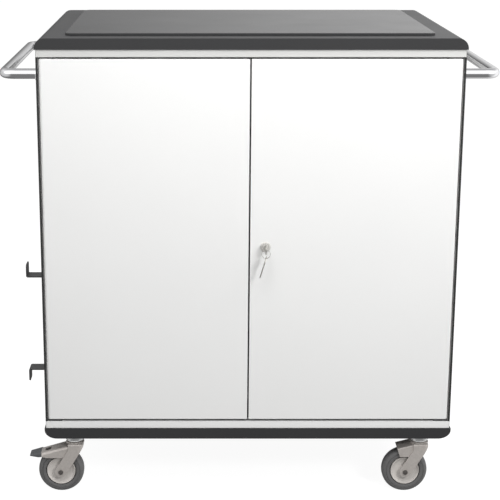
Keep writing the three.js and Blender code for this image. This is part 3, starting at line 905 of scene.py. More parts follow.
@dataclass
class Door:
    """One laminate-faced door with its pivots."""

    side: Side
    corner: float = 5.6
    edge: float = 1.0
    pin_hole: float = 4.4
    pin_depth: float = 19.0
    lock_hole: float = 9.5

    def build(self) -> None:
        """Makes the door board and both pivots."""
        node = f"door_{self.side.word}"
        span = Span.of(node)
        board = Workpiece.block(span.low, span.high)
        outer = span.low.x if self.side is Side.LEFT else span.high.x
        board.round_edges(self.corner, 10, lambda e: edge_near(e, x=outer, y=span.low.y))
        board.ease(self.edge, 3)
        pin = joint_place(f"{self.side.word}_door_hinge")
        r, depth = self.pin_hole, self.pin_depth
        for z in (span.low.z, span.high.z):
            board.combine(Workpiece.turned([(0, -depth), (r, -depth), (r, depth), (0, depth)],
                                           (pin.x, pin.y, z), Axis.Z, 24))
        if self.side is Side.RIGHT:
            lock = Span.of("lock_body").middle
            r = self.lock_hole
            board.combine(Workpiece.turned([(0, -60), (r, -60), (r, 60), (0, 60)], lock, Axis.Y, 32))
        # The door's edges and its corner rounding take the dark edging: painted shade that darkens the
        # gaps round the door.
        board.paint(1, lambda f: abs(f.normal.y) < 0.3)
        board.place(node + "_faced", f"{self.side.word}_door", [WHITE_MELAMINE, PAINTED_SHADE_EDGING], [node])
        for level in Level:
            name = f"door_pivot_{level.word}_{self.side.word}"
            Workpiece.copied(name).ease(0.5, 2).place(name + "_coated", "cabinet", [POWDER_COAT], [name])


@dataclass
class PushHandle:
    """A polished tube bent to a U, with welded flanges and their screws."""

    side: Side
    tube: float = 11.0
    flange: float = 22.0
    bend: float = 26.0
    sides: int = 36
    bend_steps: int = 14
    flange_face: float = 4.0
    screw_circle: float = 16.5
    screw: PanScrew = field(default_factory=lambda: PanScrew(3.4, 2.0, 1.5))

    def build(self) -> None:
        """Makes the tube, its flanges and the screws."""
        node = f"push_handle_{self.side.word}"
        span = Span.of(node)
        out = self.side.value
        foot = span.high.x if self.side is Side.LEFT else span.low.x
        bar = (span.low.x if self.side is Side.LEFT else span.high.x) - out * self.tube
        legs = (span.low.y + self.flange, span.high.y - self.flange)
        z = span.middle.z
        run = self._tube(out, foot, bar, legs, z)
        screws = Workpiece()
        for y in legs:
            run.add(self._flange(out, foot, y, z))
            for turn in (90, 210, 330):
                angle = math.radians(turn)
                place = (foot + out * self.flange_face, y + self.screw_circle * math.cos(angle),
                         z + self.screw_circle * math.sin(angle))
                facing = Direction.LEFT if self.side is Side.LEFT else Direction.RIGHT
                screws.add(self.screw.at(place, facing))
        run.place(node + "_polished", "cabinet", [POLISHED_STAINLESS], [node])
        screws.place(node + "_screws", "cabinet", [POLISHED_STAINLESS])

    def _tube(self, out: int, foot: float, bar: float, legs: Point, z: float) -> Workpiece:
        """Draws the tube from one foot to the other.

        Args:
            out: the sign of X away from the cabinet.
            foot: X of both feet.
            bar: X of the bar's middle line.
            legs: Y of the two legs.
            z: the handle's height.

        Returns:
            The tube.
        """
        piece = Workpiece()
        mesh = piece.mesh
        start = Matrix.Translation((foot, legs[0], z)) @ Matrix.Rotation(math.pi / 2, 4, "Y")
        bmesh.ops.create_circle(mesh, cap_ends=True, radius=self.tube, segments=self.sides, matrix=start)
        loop = list(mesh.edges)
        straight = abs(bar - foot) - self.bend
        loop = self._push(mesh, loop, Vector((out * straight, 0, 0)))
        inner = bar - out * self.bend
        loop = self._turn(mesh, loop, Vector((inner, legs[0] + self.bend, z)), out)
        loop = self._push(mesh, loop, Vector((0, legs[1] - legs[0] - 2 * self.bend, 0)))
        loop = self._turn(mesh, loop, Vector((inner, legs[1] - self.bend, z)), out)
        loop = self._push(mesh, loop, Vector((-out * straight, 0, 0)))
        bmesh.ops.contextual_create(mesh, geom=loop)
        bmesh.ops.remove_doubles(mesh, verts=mesh.verts, dist=0.001)
        bmesh.ops.recalc_face_normals(mesh, faces=mesh.faces)
        return piece

    @staticmethod
    def _push(mesh: bmesh.types.BMesh, loop: list[bmesh.types.BMEdge], way: Vector
              ) -> list[bmesh.types.BMEdge]:
        """Draws the open end straight on.

        Args:
            mesh: the mesh.
            loop: the open end's edges.
            way: where it goes.

        Returns:
            The new open end.
        """
        grown = bmesh.ops.extrude_edge_only(mesh, edges=loop)["geom"]
        verts = {g for g in grown if isinstance(g, bmesh.types.BMVert)}
        bmesh.ops.translate(mesh, vec=way, verts=list(verts))
        return [g for g in grown if isinstance(g, bmesh.types.BMEdge) and set(g.verts) <= verts]

    def _turn(self, mesh: bmesh.types.BMesh, loop: list[bmesh.types.BMEdge], centre: Vector, out: int
              ) -> list[bmesh.types.BMEdge]:
        """Draws the open end round a quarter bend.

        Args:
            mesh: the mesh.
            loop: the open end's edges.
            centre: the bend's centre.
            out: the sign of X away from the cabinet.

        Returns:
            The new open end.
        """
        bent = bmesh.ops.spin(mesh, geom=loop, cent=centre, axis=(0, 0, out), dvec=(0, 0, 0),
                              angle=math.pi / 2, steps=self.bend_steps, use_merge=False,
                              use_duplicate=False)["geom_last"]
        return [g for g in bent if isinstance(g, bmesh.types.BMEdge)]

    def _flange(self, out: int, foot: float, y: float, z: float) -> Workpiece:
        """Makes a flange with the bead that welds it to the tube.

        Args:
            out: the sign of X away from the cabinet.
            foot: X of the foot.
            y: the leg's place.
            z: the handle's height.

        Returns:
            The flange.
        """
        r = self.flange
        profile = [(0, 0), (r, 0), (r, 3.0), (r - 1, 4), (14.2, 4), (12.6, 4.5), (11.6, 5.6),
                   (11.1, 7), (0, 7)]
        return Workpiece.turned([(a, out * b) for a, b in profile], (foot, y, z), Axis.X, 40)


@dataclass
class CordHook:
    """A hook bent from flat bar, screwed to the left side panel."""

    level: Level
    bar: float = 3.0
    bend: float = 4.0
    tip_corner: float = 6.0
    stem: float = 28.0
    screw_height: float = 12.0
    screw: PanScrew = field(default_factory=PanScrew)

    def build(self) -> None:
        """Makes the hook with its bends, and its two screws."""
        node = f"cord_hook_{self.level.word}"
        span = Span.of(node)
        away = self.level.value
        wall, reach = span.high.x, span.low.x
        tip, root = (span.high.z, span.low.z) if away > 0 else (span.low.z, span.high.z)
        seat = root + away * (self.stem + self.bar)
        under = seat - away * self.bar
        outline = [(wall, root), (wall, seat), (reach + self.bar, seat), (reach + self.bar, tip),
                   (reach, tip), (reach, under), (wall - self.bar, under), (wall - self.bar, root)]
        piece = Workpiece.pressed(outline, span.low.y, span.high.y)
        piece.round_edges(self.bend, 6, lambda e: lies_along(Axis.Y, e) and (
            edge_near(e, x=reach, z=under) or edge_near(e, x=wall, z=seat)))
        piece.round_edges(self.bend - self.bar, 4, lambda e: lies_along(Axis.Y, e) and (
            edge_near(e, x=reach + self.bar, z=seat) or edge_near(e, x=wall - self.bar, z=under)))
        piece.round_edges(self.tip_corner, 6, lambda e: lies_along(Axis.X, e) and (
            edge_near(e, z=tip) or edge_near(e, z=root)))
        piece.ease(0.4, 2, 60)
        piece.place(node + "_coated", "cabinet", [POWDER_COAT], [node])
        screws = Workpiece()
        for share in (0.28, 0.72):
            y = span.low.y + share * (span.high.y - span.low.y)
            place = (wall - self.bar, y, root + away * self.screw_height)
            screws.add(self.screw.at(place, Direction.LEFT))
        screws.place(node + "_screws", "cabinet", [BRIGHT_ZINC])


# --------------------------------------------------------------- lock and keys
@dataclass
class KeyShape:
    """A flat cylinder-lock key. It lies along +Y, with its bow hole at the bench's zero."""

    half: float = 1.0
    bow: float = 12.0
    bow_offset: float = 7.0
    hole: float = 3.0
    length: float = 45.0
    blade: float = 4.0
    first_notch: float = 24.0
    notch_pitch: float = 3.6
    notches: tuple[float, ...] = (2.0, 1.1, 2.4, 1.4, 2.0)

    def make(self) -> Workpiece:
        """Returns the key with its cuts and milled groove."""
        centre = (0, self.bow_offset, 0)
        ring = [(0, -1.0), (self.bow - 0.4, -1.0), (self.bow, -0.6), (self.bow, 0.6),
                (self.bow - 0.4, 1.0), (0, 1.0)]
        key = Workpiece.turned(ring, centre, Axis.X, 40)
        tip = self.length
        blade = Workpiece.pressed(
            [(self.bow_offset, -4), (self.bow_offset, 4), (tip - 1.5, 4), (tip, 2), (tip, 0),
             (tip - 4, -4)],
            -self.half, self.half, Axis.X)
        for index, depth in enumerate(self.notches):
            y = self.first_notch + self.notch_pitch * index
            blade.combine(Workpiece.pressed(
                [(y - depth - 0.5, -5), (y - 0.5, -4 + depth), (y + 0.5, -4 + depth),
                 (y + depth + 0.5, -5)],
                -2, 2, Axis.X))
        for face in (-1, 1):
            blade.combine(Workpiece.block((face * 1.4 - 0.9, 20, 0.2), (face * 1.4 + 0.9, tip + 1, 1.6)))
        key.combine(blade, "UNION")
        key.combine(Workpiece.turned([(0, -2), (self.hole, -2), (self.hole, 2), (0, 2)],
                                     (0, 0, 0), Axis.X, 20))
        return key.ease(0.15, 1, 50)


@dataclass
class CamLock:
    """The lock on the right door with its cam, strike and keys."""

    head: float = 11.0
    barrel: float = 9.0
    plug: float = 6.0
    ring: float = 9.0
    wire: float = 0.42
    threads: int = 12
    thread_pitch: float = 1.5
    keyway: Point = (1.3, 4.3)  # half its width and half its height
    yaw: float = math.radians(-4)
    lean: float = math.radians(16)
    shape: KeyShape = field(default_factory=KeyShape)

    def build(self) -> None:
        """Makes every piece of the lock."""
        self._body()
        self._plug()
        self._back()
        self._keys()

    def _body(self) -> None:
        """Makes the head and its threaded barrel, which pass through the door."""
        span = Span.of("lock_body")
        centre = (span.middle.x, span.low.y, span.middle.z)
        length = span.high.y - span.low.y
        bore = self.plug + 0.3
        profile = [(bore, 0.9), (bore + 0.9, 0.1), (self.head - 2.2, 0), (self.head - 0.5, 0.7),
                   (self.head, 1.6), (self.head, 2.5), (self.barrel, 2.5)]
        for thread in range(self.threads):
            start = 8 + thread * self.thread_pitch
            profile += [(self.barrel, start), (self.barrel - 0.5, start + self.thread_pitch / 2)]
        profile += [(self.barrel, length - 0.2), (bore, length)]
        Workpiece.turned(profile, centre, Axis.Y, 48, ring=True).place(
            "lock_head", "right_door", [SOFT_NICKEL], ["lock_body"])
        Workpiece.copied("lock_nut").ease(0.5, 2, 40).place(
            "lock_ring_nut", "right_door", [BRIGHT_NICKEL], ["lock_nut"])

    def _plug(self) -> None:
        """Makes the plug with its keyway, and the screw that holds the cam."""
        span = Span.of("lock_plug")
        centre = (span.middle.x, span.low.y, span.middle.z)
        length = span.high.y - span.low.y
        r = self.plug - 0.05
        plug = Workpiece.turned([(0, 0), (r - 0.6, 0), (r, 0.6), (r, length), (0, length)],
                                centre, Axis.Y, 40)
        x, z = span.middle.x, span.middle.z
        face = span.low.y
        wide, tall = self.keyway
        plug.combine(Workpiece.block((x - wide, face - 1, z - tall), (x + wide, face + 22, z + tall)))
        plug.place("lock_plug_turned", "lock_cylinder", [SOFT_NICKEL], ["lock_plug"])
        cam = Workpiece.copied("lock_cam").ease(0.3, 2)
        cam.place("lock_cam_pressed", "lock_cylinder", [BRIGHT_ZINC], ["lock_cam"])
        back = Span.of("lock_cam").high.y
        HexHead(5.0, 3.6).at((x, back, z), Direction.BACK).place(
            "lock_cam_screw", "lock_cylinder", [BRIGHT_ZINC])

    def _back(self) -> None:
        """Makes the strike plate on the left door, with its screws."""
        span = Span.of("lock_strike")
        plate = Workpiece.block(span.low, span.high)
        plate.round_edges(3.0, 5, lambda e: lies_along(Axis.Y, e))
        plate.ease(0.4, 2, 60).place("lock_strike_plate", "left_door", [BRIGHT_ZINC], ["lock_strike"])
        screws = Workpiece()
        for z in (span.low.z + 8, span.high.z - 8):
            screws.add(PanScrew(3.0, 1.4, 1.3).at((span.middle.x, span.high.y, z), Direction.BACK))
        screws.place("lock_strike_screws", "left_door", [BRIGHT_ZINC])

    def _keys(self) -> None:
        """Makes the key in the lock, the split ring and the spare key that hangs on it."""
        hole = joint_place("ring_swing")
        hanging = joint_place("spare_key_swing")
        self.shape.make().place("inserted_key_cut", "inserted_key", [BRIGHT_NICKEL], ["key"], hole)
        yaw = Matrix.Rotation(self.yaw, 4, "Z")
        ring = Workpiece()
        for lay in (-1, 1):
            turn = [(self.ring + self.wire * math.cos(a), lay * self.wire + self.wire * math.sin(a))
                    for a in (math.tau * i / 10 for i in range(10))]
            ring.add(Workpiece.turned(turn, (0, 0, -self.ring), Axis.Y, 40, ring=True))
        ring.move(yaw).place("split_ring", "ring", [BRIGHT_NICKEL], ["key_ring"], hole)
        down = Matrix.Rotation(self.lean, 4, "Y") @ Matrix.Rotation(-math.pi / 2, 4, "X")
        self.shape.make().move(yaw @ down).place(
            "spare_key_cut", "hanging_key", [BRIGHT_NICKEL], ["spare_key"], hanging)


@dataclass
class DoorBolt:
    """A sliding bolt on the back of the left door."""

    level: Level
    rod: float = 4.0

    def build(self) -> None:
        """Makes the bolt with its knob, and the guide with its screws."""
        node = f"door_bolt_{self.level.word}"
        span = Span.of(node)
        x, y = span.middle.x, span.low.y + self.rod
        length = span.high.z - span.low.z
        r = self.rod
        profile = [(0, 0), (r - 1, 0), (r, 1), (r, length - 1), (r - 1, length), (0, length)]
        rod = Workpiece.turned(profile, (x, y, span.low.z), Axis.Z, 28)
        knob_z = span.low.z + 10 if self.level is Level.UPPER else span.high.z - 10
        reach = span.high.y - y
        knob = [(0, 2), (1.8, 2), (1.8, reach - 7), (2.7, reach - 6.2), (3, reach - 5), (3, reach - 1),
                (2.4, reach - 0.2), (0, reach)]
        rod.combine(Workpiece.turned(knob, (x, y, knob_z), Axis.Y, 24), "UNION")
        rod.place(node + "_turned", f"{self.level.word}_bolt", [BRIGHT_ZINC], [node])
        guide = f"bolt_guide_{self.level.word}"
        seat = Span.of(guide)
        Workpiece.copied(guide).ease(1.0, 3).place(guide + "_cast", "left_door", [BRIGHT_ZINC], [guide])
        screws = Workpiece()
        for z in (seat.low.z + 6, seat.high.z - 6):
            for side in Side:
                place = (seat.middle.x + side.value * 8, seat.high.y, z)
                screws.add(PanScrew(2.2, 1.2, 1.0).at(place, Direction.BACK))
        screws.place(guide + "_screws", "left_door", [BRIGHT_ZINC])


# ------------------------------------------------------------------- castors
@dataclass
class Castor:
    """A swivel castor with a bolt-hole fitting. Its bench zero is on the swivel axis, on the floor."""

    corner: Corner
    trail: float = 31.0
    wheel: float = 50.0
    leg_inner: float = 21.0
    leg_outer: float = 23.5
    leg_half: float = 12.5
    lean: float = math.radians(31.5)  # of the legs, from upright
    front: float = 19.0
    back: float = -14.4
    roof: float = 115.2
    sheet: float = 2.5
    press_radius: float = 11.0
    crown_radius: float = 4.5
    wall_end: float = 88.5

    def __post_init__(self) -> None:
        """Finds the swivel axis."""
        axis = joint_place(f"{self.corner.value}_swivel")
        self.origin = Vector((axis.x, axis.y, 0))
        self.swivel = f"{self.corner.value}_swivel"

    def build(self) -> None:
        """Makes the mounting, fork, wheel and, on the left, the brake."""
        self._mounting()
        self._fork()
        self._axle()
        self._wheel()
        if self.corner.braked:
            self._brake()

    def _named(self, stem: str) -> str:
        """Returns a name with the castor's corner."""
        return f"{stem}_{self.corner.value}"

    def _mounting(self) -> None:
        """Makes the fixed half of the ball race, with the bolt and nut that hold it to the base."""
        node = f"castor_mount_{self.corner.value}"
        drop = Span.of(node).low.z
        base = Span.of("base_plinth").low.z - 0.3
        cup = [(0, drop), (15.8, drop), (17.4, drop + 0.7), (18.3, drop + 2.2), (18.0, drop + 3.2),
               (19.6, drop + 4.4), (21.4, drop + 5.6), (21.9, drop + 7.2), (21.9, base - 0.6),
               (21.3, base), (0, base)]
        race = Workpiece.turned(cup, (0, 0, 0), Axis.Z, 56)
        end = base + 20.5
        bolt = [(0, base), (6, base), (6, end - 1), (5, end), (0, end)]
        race.add(Workpiece.turned(bolt, (0, 0, 0), Axis.Z, 24))
        race.add(HexHead(10.2, 8.0).at((0, 0, base + 9.7), Direction.UP))
        race.place(self._named("ball_race"), "cabinet", [BRIGHT_ZINC], [node], self.origin)

    def _profile(self) -> list[Point]:
        """Lays out the fork from the side: a crown and a strip that leans to the axle.

        Returns:
            The corners, the two square ones of the foot last.
        """
        along = Vector((math.sin(self.lean), math.cos(self.lean)))
        across = Vector((-along.y, along.x)) * self.leg_half
        foot = Vector((-self.trail, self.wheel)) - along * self.leg_half
        left, right = foot + across, foot - across
        front_z = right.y + (self.front - right.x) / math.tan(self.lean)
        back_z = left.y + (self.back - left.x) / math.tan(self.lean)
        return [(self.back, back_z), (self.back, self.roof), (self.front, self.roof),
                (self.front, front_z), tuple(right), tuple(left)]

    def _plan(self, front: float, half: float, radius: float, low: float, high: float) -> Workpiece:
        """Makes a block with round front corners, as the press makes them.

        Args:
            front: X of its front.
            half: half its width.
            radius: the corners' radius.
            low: Z of its underside.
            high: Z of its top.

        Returns:
            The block.
        """
        plan = Workpiece.block((-80, -half, low), (front, half, high))
        return plan.round_edges(radius, 10, lambda e: lies_along(Axis.Z, e) and edge_near(e, x=front))

    def _fork(self) -> None:
        """Presses the fork from one sheet, with a splash guard where there's no brake."""
        node = f"castor_fork_{self.corner.value}"
        top = Span.of(node).high.z
        profile = self._profile()
        fork = Workpiece.pressed(profile, -30, 30)
        for x, z in profile[-2:]:
            fork.round_edges(self.leg_half - 0.02, 10,
                             lambda e, x=x, z=z: lies_along(Axis.Y, e) and edge_near(e, x=x, z=z))
        fork.combine(self._plan(self.front, self.leg_outer, self.press_radius, 20, 140), "INTERSECT")
        fork.round_edges(self.crown_radius, 6, lambda e: edge_near(e, z=self.roof)
                         and not edge_near(e, x=self.back) and e.calc_face_angle(0.0) > SHARP)
        inner = self._plan(self.front - self.sheet, self.leg_inner, self.press_radius - self.sheet,
                           20, self.roof - self.sheet)
        rise = (self.front - self.sheet - 5.2) / math.tan(self.lean)
        room = Workpiece.pressed(
            [(self.front - self.sheet, 130), (self.front - self.sheet, self.wall_end + 1 + rise),
             (5.2, self.wall_end + 1), (5.2, 20), (-90, 20), (-90, 130)], -30, 30)
        fork.combine(inner.combine(room, "INTERSECT"))
        fork.combine(Workpiece.block((-90, -self.leg_inner, 0), (40, self.leg_inner, self.wall_end)))
        if not self.corner.braked:
            fork.combine(self._guard(), "UNION")
        head = [(0, top - 5), (19.8, top - 5), (20.4, top - 2.4), (19.2, top - 0.8),
                (16.5, top - 0.1), (0, top)]
        fork.combine(Workpiece.turned(head, (0, 0, 0), Axis.Z, 48), "UNION")
        fork.combine(self._pin(4.4, 30))
        fork.ease(0.35, 2, 70)
        fork.place(self._named("castor_fork_pressed"), self.swivel, [SATIN_ZINC], [node], self.origin)

    def _guard(self) -> Workpiece:
        """Presses the guard that runs back over the wheel.

        Returns:
            The guard, open below and at the back so that the wheel turns freely in it.
        """
        half = self.leg_inner + 0.2
        wall = 1.9
        top = self.roof - 0.5
        skirt = 84.8  # where its sides end above the wheel's centre
        guard = Workpiece.pressed(
            [(8, top), (-10, top - 0.4), (-49.5, 103.8), (-43.5, skirt), (-3, skirt), (8, 95)],
            -half, half)
        guard.round_edges(2.6, 5, lambda e: min(v.co.z for v in e.verts) > 103
                          and not lies_along(Axis.Y, e) and e.calc_face_angle(0.0) > SHARP)
        guard.combine(Workpiece.pressed(
            [(30, top - 2.2), (-10, top - 2.7), (-60, 99.1), (-60, 70), (30, 70)],
            -half + wall, half - wall))
        return guard

    def _pin(self, radius: float, reach: float) -> Workpiece:
        """Makes a plain rod along the axle.

        Args:
            radius: its radius.
            reach: half its length.

        Returns:
            The rod.
        """
        profile = [(0, -reach), (radius, -reach), (radius, reach), (0, reach)]
        return Workpiece.turned(profile, (-self.trail, 0, self.wheel), Axis.Y, 28)

    def _axle(self) -> None:
        """Makes the axle bolt, blackened, with a collar and a riveted end at each side."""
        node = f"castor_axle_{self.corner.value}"
        reach = Span.of(node).high.y - self.origin.y
        seat = self.leg_outer + 0.2
        half = [(4, 0), (4, seat), (5.3, seat), (5.3, reach - 1.3), (4.5, reach - 0.5),
                (2.9, reach - 0.5), (2.5, reach - 0.1), (1.6, reach), (0, reach)]
        profile = [(r, -y) for r, y in reversed(half)] + half[1:]
        bolt = Workpiece.turned(profile, (-self.trail, 0, self.wheel), Axis.Y, 32)
        bolt.place(self._named("castor_axle_bolt"), self.swivel, [BLACKENED_STEEL], [node], self.origin)

    def _wheel(self) -> None:
        """Turns the rim and the tyre."""
        body = f"{self.corner.value}_wheel"
        centre = (-self.trail, 0, self.wheel)
        rim_half = [(4.4, 19.9), (7.6, 19.9), (8.4, 19.1), (9.0, 14.2), (10.6, 12.8), (14, 12.0),
                    (21, 11.8), (26, 12.5), (28.2, 13.7), (29.4, 15.0), (30.4, 15.4), (31.0, 14.9),
                    (31.2, 13.8), (31.2, 8.0), (32.2, 7.6)]
        profile = rim_half + [(r, -y) for r, y in reversed(rim_half)]
        Workpiece.turned(profile, centre, Axis.Y, 64, ring=True).place(
            self._named("castor_rim_moulded"), body, [GREY_POLYPROPYLENE],
            [f"castor_rim_{self.corner.value}"], self.origin)
        tyre_half = [(32.4, 7.4), (32.9, 13.0), (33.6, 14.0), (34.8, 14.6), (37.2, 14.9), (39.6, 14.9),
                     (40.2, 13.7), (41.4, 13.7), (42.0, 14.6), (44.6, 13.9), (46.8, 12.2), (48.6, 9.8),
                     (49.6, 7.2), (49.95, 3.6)]
        profile = tyre_half + [(self.wheel, 0)] + [(r, -y) for r, y in reversed(tyre_half)]
        Workpiece.turned(profile, centre, Axis.Y, 80, ring=True).place(
            self._named("castor_tyre_moulded"), body, [GREY_RUBBER],
            [f"castor_tyre_{self.corner.value}"], self.origin)

    def _brake(self) -> None:
        """Presses the brake pedal, and moulds the tip that the foot works."""
        node = f"brake_pedal_{self.corner.value}"
        body = f"{self.corner.value}_brake"
        half, wall = self.leg_inner - 0.5, 1.75
        slope = 17.1 / 58.3  # of its top, which falls to the back
        front, skirt, seam = 3, 81.7, -73.4  # its front end, its lower edge, and where the tip starts
        pedal = Workpiece.pressed(
            [(front, 109.8), (front, 97), (-26, skirt), (-61, skirt), (-72.5, 84), (-74.3, 92.1),
             (-16, 109.2)], -half, half)
        pedal.round_edges(6.0, 7, lambda e: min(v.co.z for v in e.verts) > 91
                          and max(v.co.z for v in e.verts) > 100 and not lies_along(Axis.Y, e)
                          and e.calc_face_angle(0.0) > SHARP and not edge_near(e, x=front))
        room = Workpiece.pressed([(10, 108.0), (10, 70), (-90, 70), (-90, 90.3 - 15.7 * slope),
                                  (-16, 107.4)], -half + wall, half - wall)
        room.round_edges(4.3, 6, lambda e: min(v.co.z for v in e.verts) > 84 and not lies_along(Axis.Y, e)
                         and e.calc_face_angle(0.0) > SHARP)
        pedal.combine(room)
        hole = Workpiece.block((-66, -8, 80), (-53, 8, 120))
        pedal.combine(hole.round_edges(2.0, 4, lambda e: lies_along(Axis.Z, e)))
        pedal.ease(0.3, 2, 75)
        pedal.place(self._named("brake_pedal_pressed"), body, [SATIN_ZINC], [node], self.origin)
        tip = Workpiece.pressed(
            [(seam, 92.3), (-97.6, 86.9), (-99.3, 85.9), (-99.3, 84.7), (-96, 84.2), (-80, 82.8),
             (seam, 84.0)], -half, half)
        tip.round_edges(2.6, 5, lambda e: not lies_along(Axis.Y, e) and e.calc_face_angle(0.0) > SHARP
                        and max(v.co.x for v in e.verts) < seam + 0.1 and not edge_near(e, x=seam))
        tongue = Workpiece.block((-76, -half + wall + 0.4, 85), (-68.5, half - wall - 0.4, 89))
        for vert in tip.mesh.verts:
            out = max(seam - vert.co.x, 0) / 26
            vert.co.y *= 1 - 0.28 * out
        tip.combine(tongue, "UNION")
        for step in range(4):
            x = -78.5 - 4.6 * step
            height = 92.0 + (x - seam) * 0.223
            profile = [(0, -11), (0.55, -11), (0.8, -10.4), (0.8, 10.4), (0.55, 11), (0, 11)]
            rib = Workpiece.turned(profile, (x, 0, height), Axis.Y, 12)
            tip.combine(rib, "UNION")
        tip.place(self._named("brake_tip_moulded"), body, [PEDAL_NYLON], (), self.origin)
        pin = joint_place(f"{self.corner.value}_brake_lift") - self.origin
        reach = self.leg_inner - 0.1
        rod = [(0, -reach), (2.4, -reach), (3, -reach + 0.6), (3, reach - 0.6), (2.4, reach), (0, reach)]
        Workpiece.turned(rod, pin, Axis.Y, 24).place(
            self._named("brake_pin"), body, [BRIGHT_ZINC], (), self.origin)


# -------------------------------------------------------------------- studio
@dataclass(frozen=True)
class Softbox:
    """A soft rectangular lamp that lights the cart and shows in no mirror. Places are in metres."""

    name: str
    place: tuple[float, float, float]
    size: Point
    power: float  # watts
    target: tuple[float, float, float]

    def hang(self) -> None:
        """Hangs the softbox, facing its target."""
        data = bpy.data.lights.new(self.name, "AREA")
        data.shape, data.energy = "RECTANGLE", self.power
        data.size, data.size_y = self.size
        light = bpy.data.objects.new(self.name, data)
        light.location = self.place
        way = Vector(self.target) - Vector(self.place)
        light.rotation_euler = way.to_track_quat("-Z", "Y").to_euler()
        light.visible_glossy = False
        light.visible_camera = False
        bpy.context.scene.collection.objects.link(light)


SOFTBOXES = (
    Softbox("top_softbox", (0.3, -1.15, 2.1), (2.4, 0.7), 27.0, (0.0, -0.25, 0.8)),
    Softbox("key_light", (1.5, -2.7, 1.9), (0.55, 0.55), 34.0, (0.0, -0.3, 0.45)),
    Softbox("back_softbox", (0.2, 1.6, 2.6), (2.6, 1.2), 26.0, (0, 0, 0.8)),
)


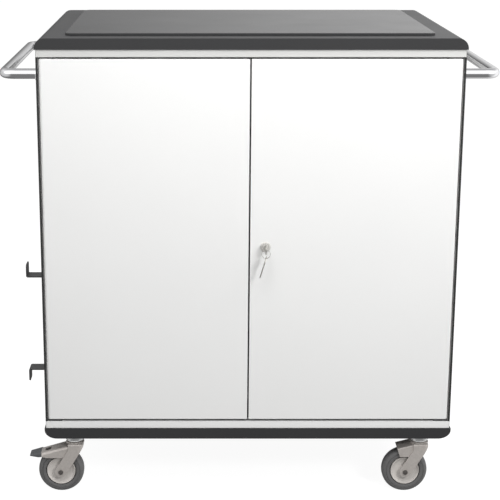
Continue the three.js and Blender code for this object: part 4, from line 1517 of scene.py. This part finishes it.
@dataclass
class Studio:
    """A pale floor, soft light and the camera."""

    sideways: float = -107.75
    away: float = 2901.5  # in front of the doors
    height: float = 1314.33
    tilt: float = 14.609  # degrees below level
    lens: float = 102.36
    shift: float = 0.1036
    floor_size: float = 60.0  # metres
    floor_glow: float = 0.93

    def build(self) -> None:
        """Makes the floor, lights, world and camera."""
        self._floor()
        self._world()
        for softbox in SOFTBOXES:
            softbox.hang()
        self._camera()

    def _floor(self) -> None:
        """Lays the floor, which is lit from inside like a light table."""
        mesh = bmesh.new()
        bmesh.ops.create_grid(mesh, x_segments=1, y_segments=1, size=self.floor_size / 2)
        data = bpy.data.meshes.new("studio_floor")
        mesh.to_mesh(data)
        mesh.free()
        floor = bpy.data.objects.new("studio_floor", data)
        bpy.context.scene.collection.objects.link(floor)
        sheet = bpy.data.materials.new("opal_sheet")
        sheet.use_nodes = True
        shader = sheet.node_tree.nodes["Principled BSDF"]
        shader.inputs["Base Color"].default_value = srgb("8A8A8A")
        shader.inputs["Roughness"].default_value = 0.9
        shader.inputs["Specular IOR Level"].default_value = 0.0
        shader.inputs["Emission Color"].default_value = srgb("FFFFFF")
        shader.inputs["Emission Strength"].default_value = self.floor_glow
        data.materials.append(sheet)
        floor.visible_glossy = False
        floor.visible_diffuse = False

    def _world(self) -> None:
        """Surrounds the cart with white light, and with the bright and dark parts that metal mirrors."""
        world = bpy.data.worlds.new("studio_world")
        bpy.context.scene.world = world
        world.use_nodes = True
        tree = world.node_tree
        way = add_node(tree, "ShaderNodeTexCoord").outputs["Generated"]
        parts = add_node(tree, "ShaderNodeSeparateXYZ", Vector=way)
        x, y, z = (parts.outputs[i] for i in range(3))

        def fade(value: bpy.types.NodeSocket, start: float, end: float, low: float, high: float
                 ) -> bpy.types.NodeSocket:
            """Returns a smooth step of a value.

            Args:
                value: what is stepped.
                start: where the step begins.
                end: where it ends.
                low: the result before it.
                high: the result after it.

            Returns:
                The step.
            """
            settings = {"interpolation_type": "SMOOTHSTEP"}
            return add_node(tree, "ShaderNodeMapRange", settings, Value=value, From_Min=start,
                            From_Max=end, To_Min=low, To_Max=high).outputs["Result"]

        def blend(kind: str, one: bpy.types.NodeSocket, two: bpy.types.NodeSocket
                  ) -> bpy.types.NodeSocket:
            """Returns two values combined.

            Args:
                kind: the sum's name.
                one: the first value.
                two: the second value.

            Returns:
                The result.
            """
            return add_node(tree, "ShaderNodeMath", {"operation": kind}, _0=one, _1=two).outputs[0]

        front = blend("MULTIPLY", fade(z, -0.12, 0.12, 0.27, 1.55), fade(z, 0.9, 1.0, 1.0, 0.6))
        rear = blend("ADD", fade(z, 0.1, 0.5, 0.22, 0.58),
                     blend("MULTIPLY", fade(x, -0.2, 0.2, 0.0, 0.58), fade(z, 0.25, 0.6, 1.0, 0.0)))
        behind = fade(y, -0.25, 0.2, 0.0, 1.0)
        mirrored = blend("ADD", blend("MULTIPLY", front, fade(y, -0.25, 0.2, 1.0, 0.0)),
                         blend("MULTIPLY", rear, behind))
        across = add_node(tree, "ShaderNodeMath", {"operation": "ABSOLUTE"}, _0=x).outputs[0]
        mirrored = blend("ADD", mirrored, fade(across, 0.45, 0.9, 0.0, 0.6))
        path = add_node(tree, "ShaderNodeLightPath")
        plain = fade(path.outputs["Is Camera Ray"], 0.0, 1.0, 0.4, 1.05)
        glossy = path.outputs["Is Glossy Ray"]
        strength = blend("ADD", blend("MULTIPLY", mirrored, glossy),
                         blend("MULTIPLY", plain, fade(glossy, 0.0, 1.0, 1.0, 0.0)))
        back = tree.nodes["Background"]
        back.inputs["Color"].default_value = (1.0, 1.0, 1.0, 1.0)
        tree.links.new(strength, back.inputs["Strength"])

    def _camera(self) -> None:
        """Sets the camera up in front of the doors, a little above the top."""
        data = bpy.data.cameras.new("camera")
        data.lens, data.sensor_width, data.shift_x = self.lens, 36.0, self.shift
        data.clip_end = 200.0
        camera = bpy.data.objects.new("camera", data)
        front = Span.of("door_left").low.y
        camera.location = Vector((self.sideways, front - self.away, self.height)) * MM
        camera.rotation_euler = (math.radians(90 - self.tilt), 0, 0)
        scene = bpy.context.scene
        scene.collection.objects.link(camera)
        scene.camera = camera
        scene.view_settings.view_transform = "Standard"


def main() -> None:
    """Builds the cart piece by piece."""
    logging.basicConfig(level=logging.INFO, format="%(name)s: %(message)s")
    Studio().build()
    Mouldings().build()
    Carcass().build()
    for side in Side:
        Door(side).build()
        PushHandle(side).build()
    for level in Level:
        CordHook(level).build()
        DoorBolt(level).build()
    CamLock().build()
    for corner in Corner:
        Castor(corner).build()


if __name__ == "__main__":
    main()
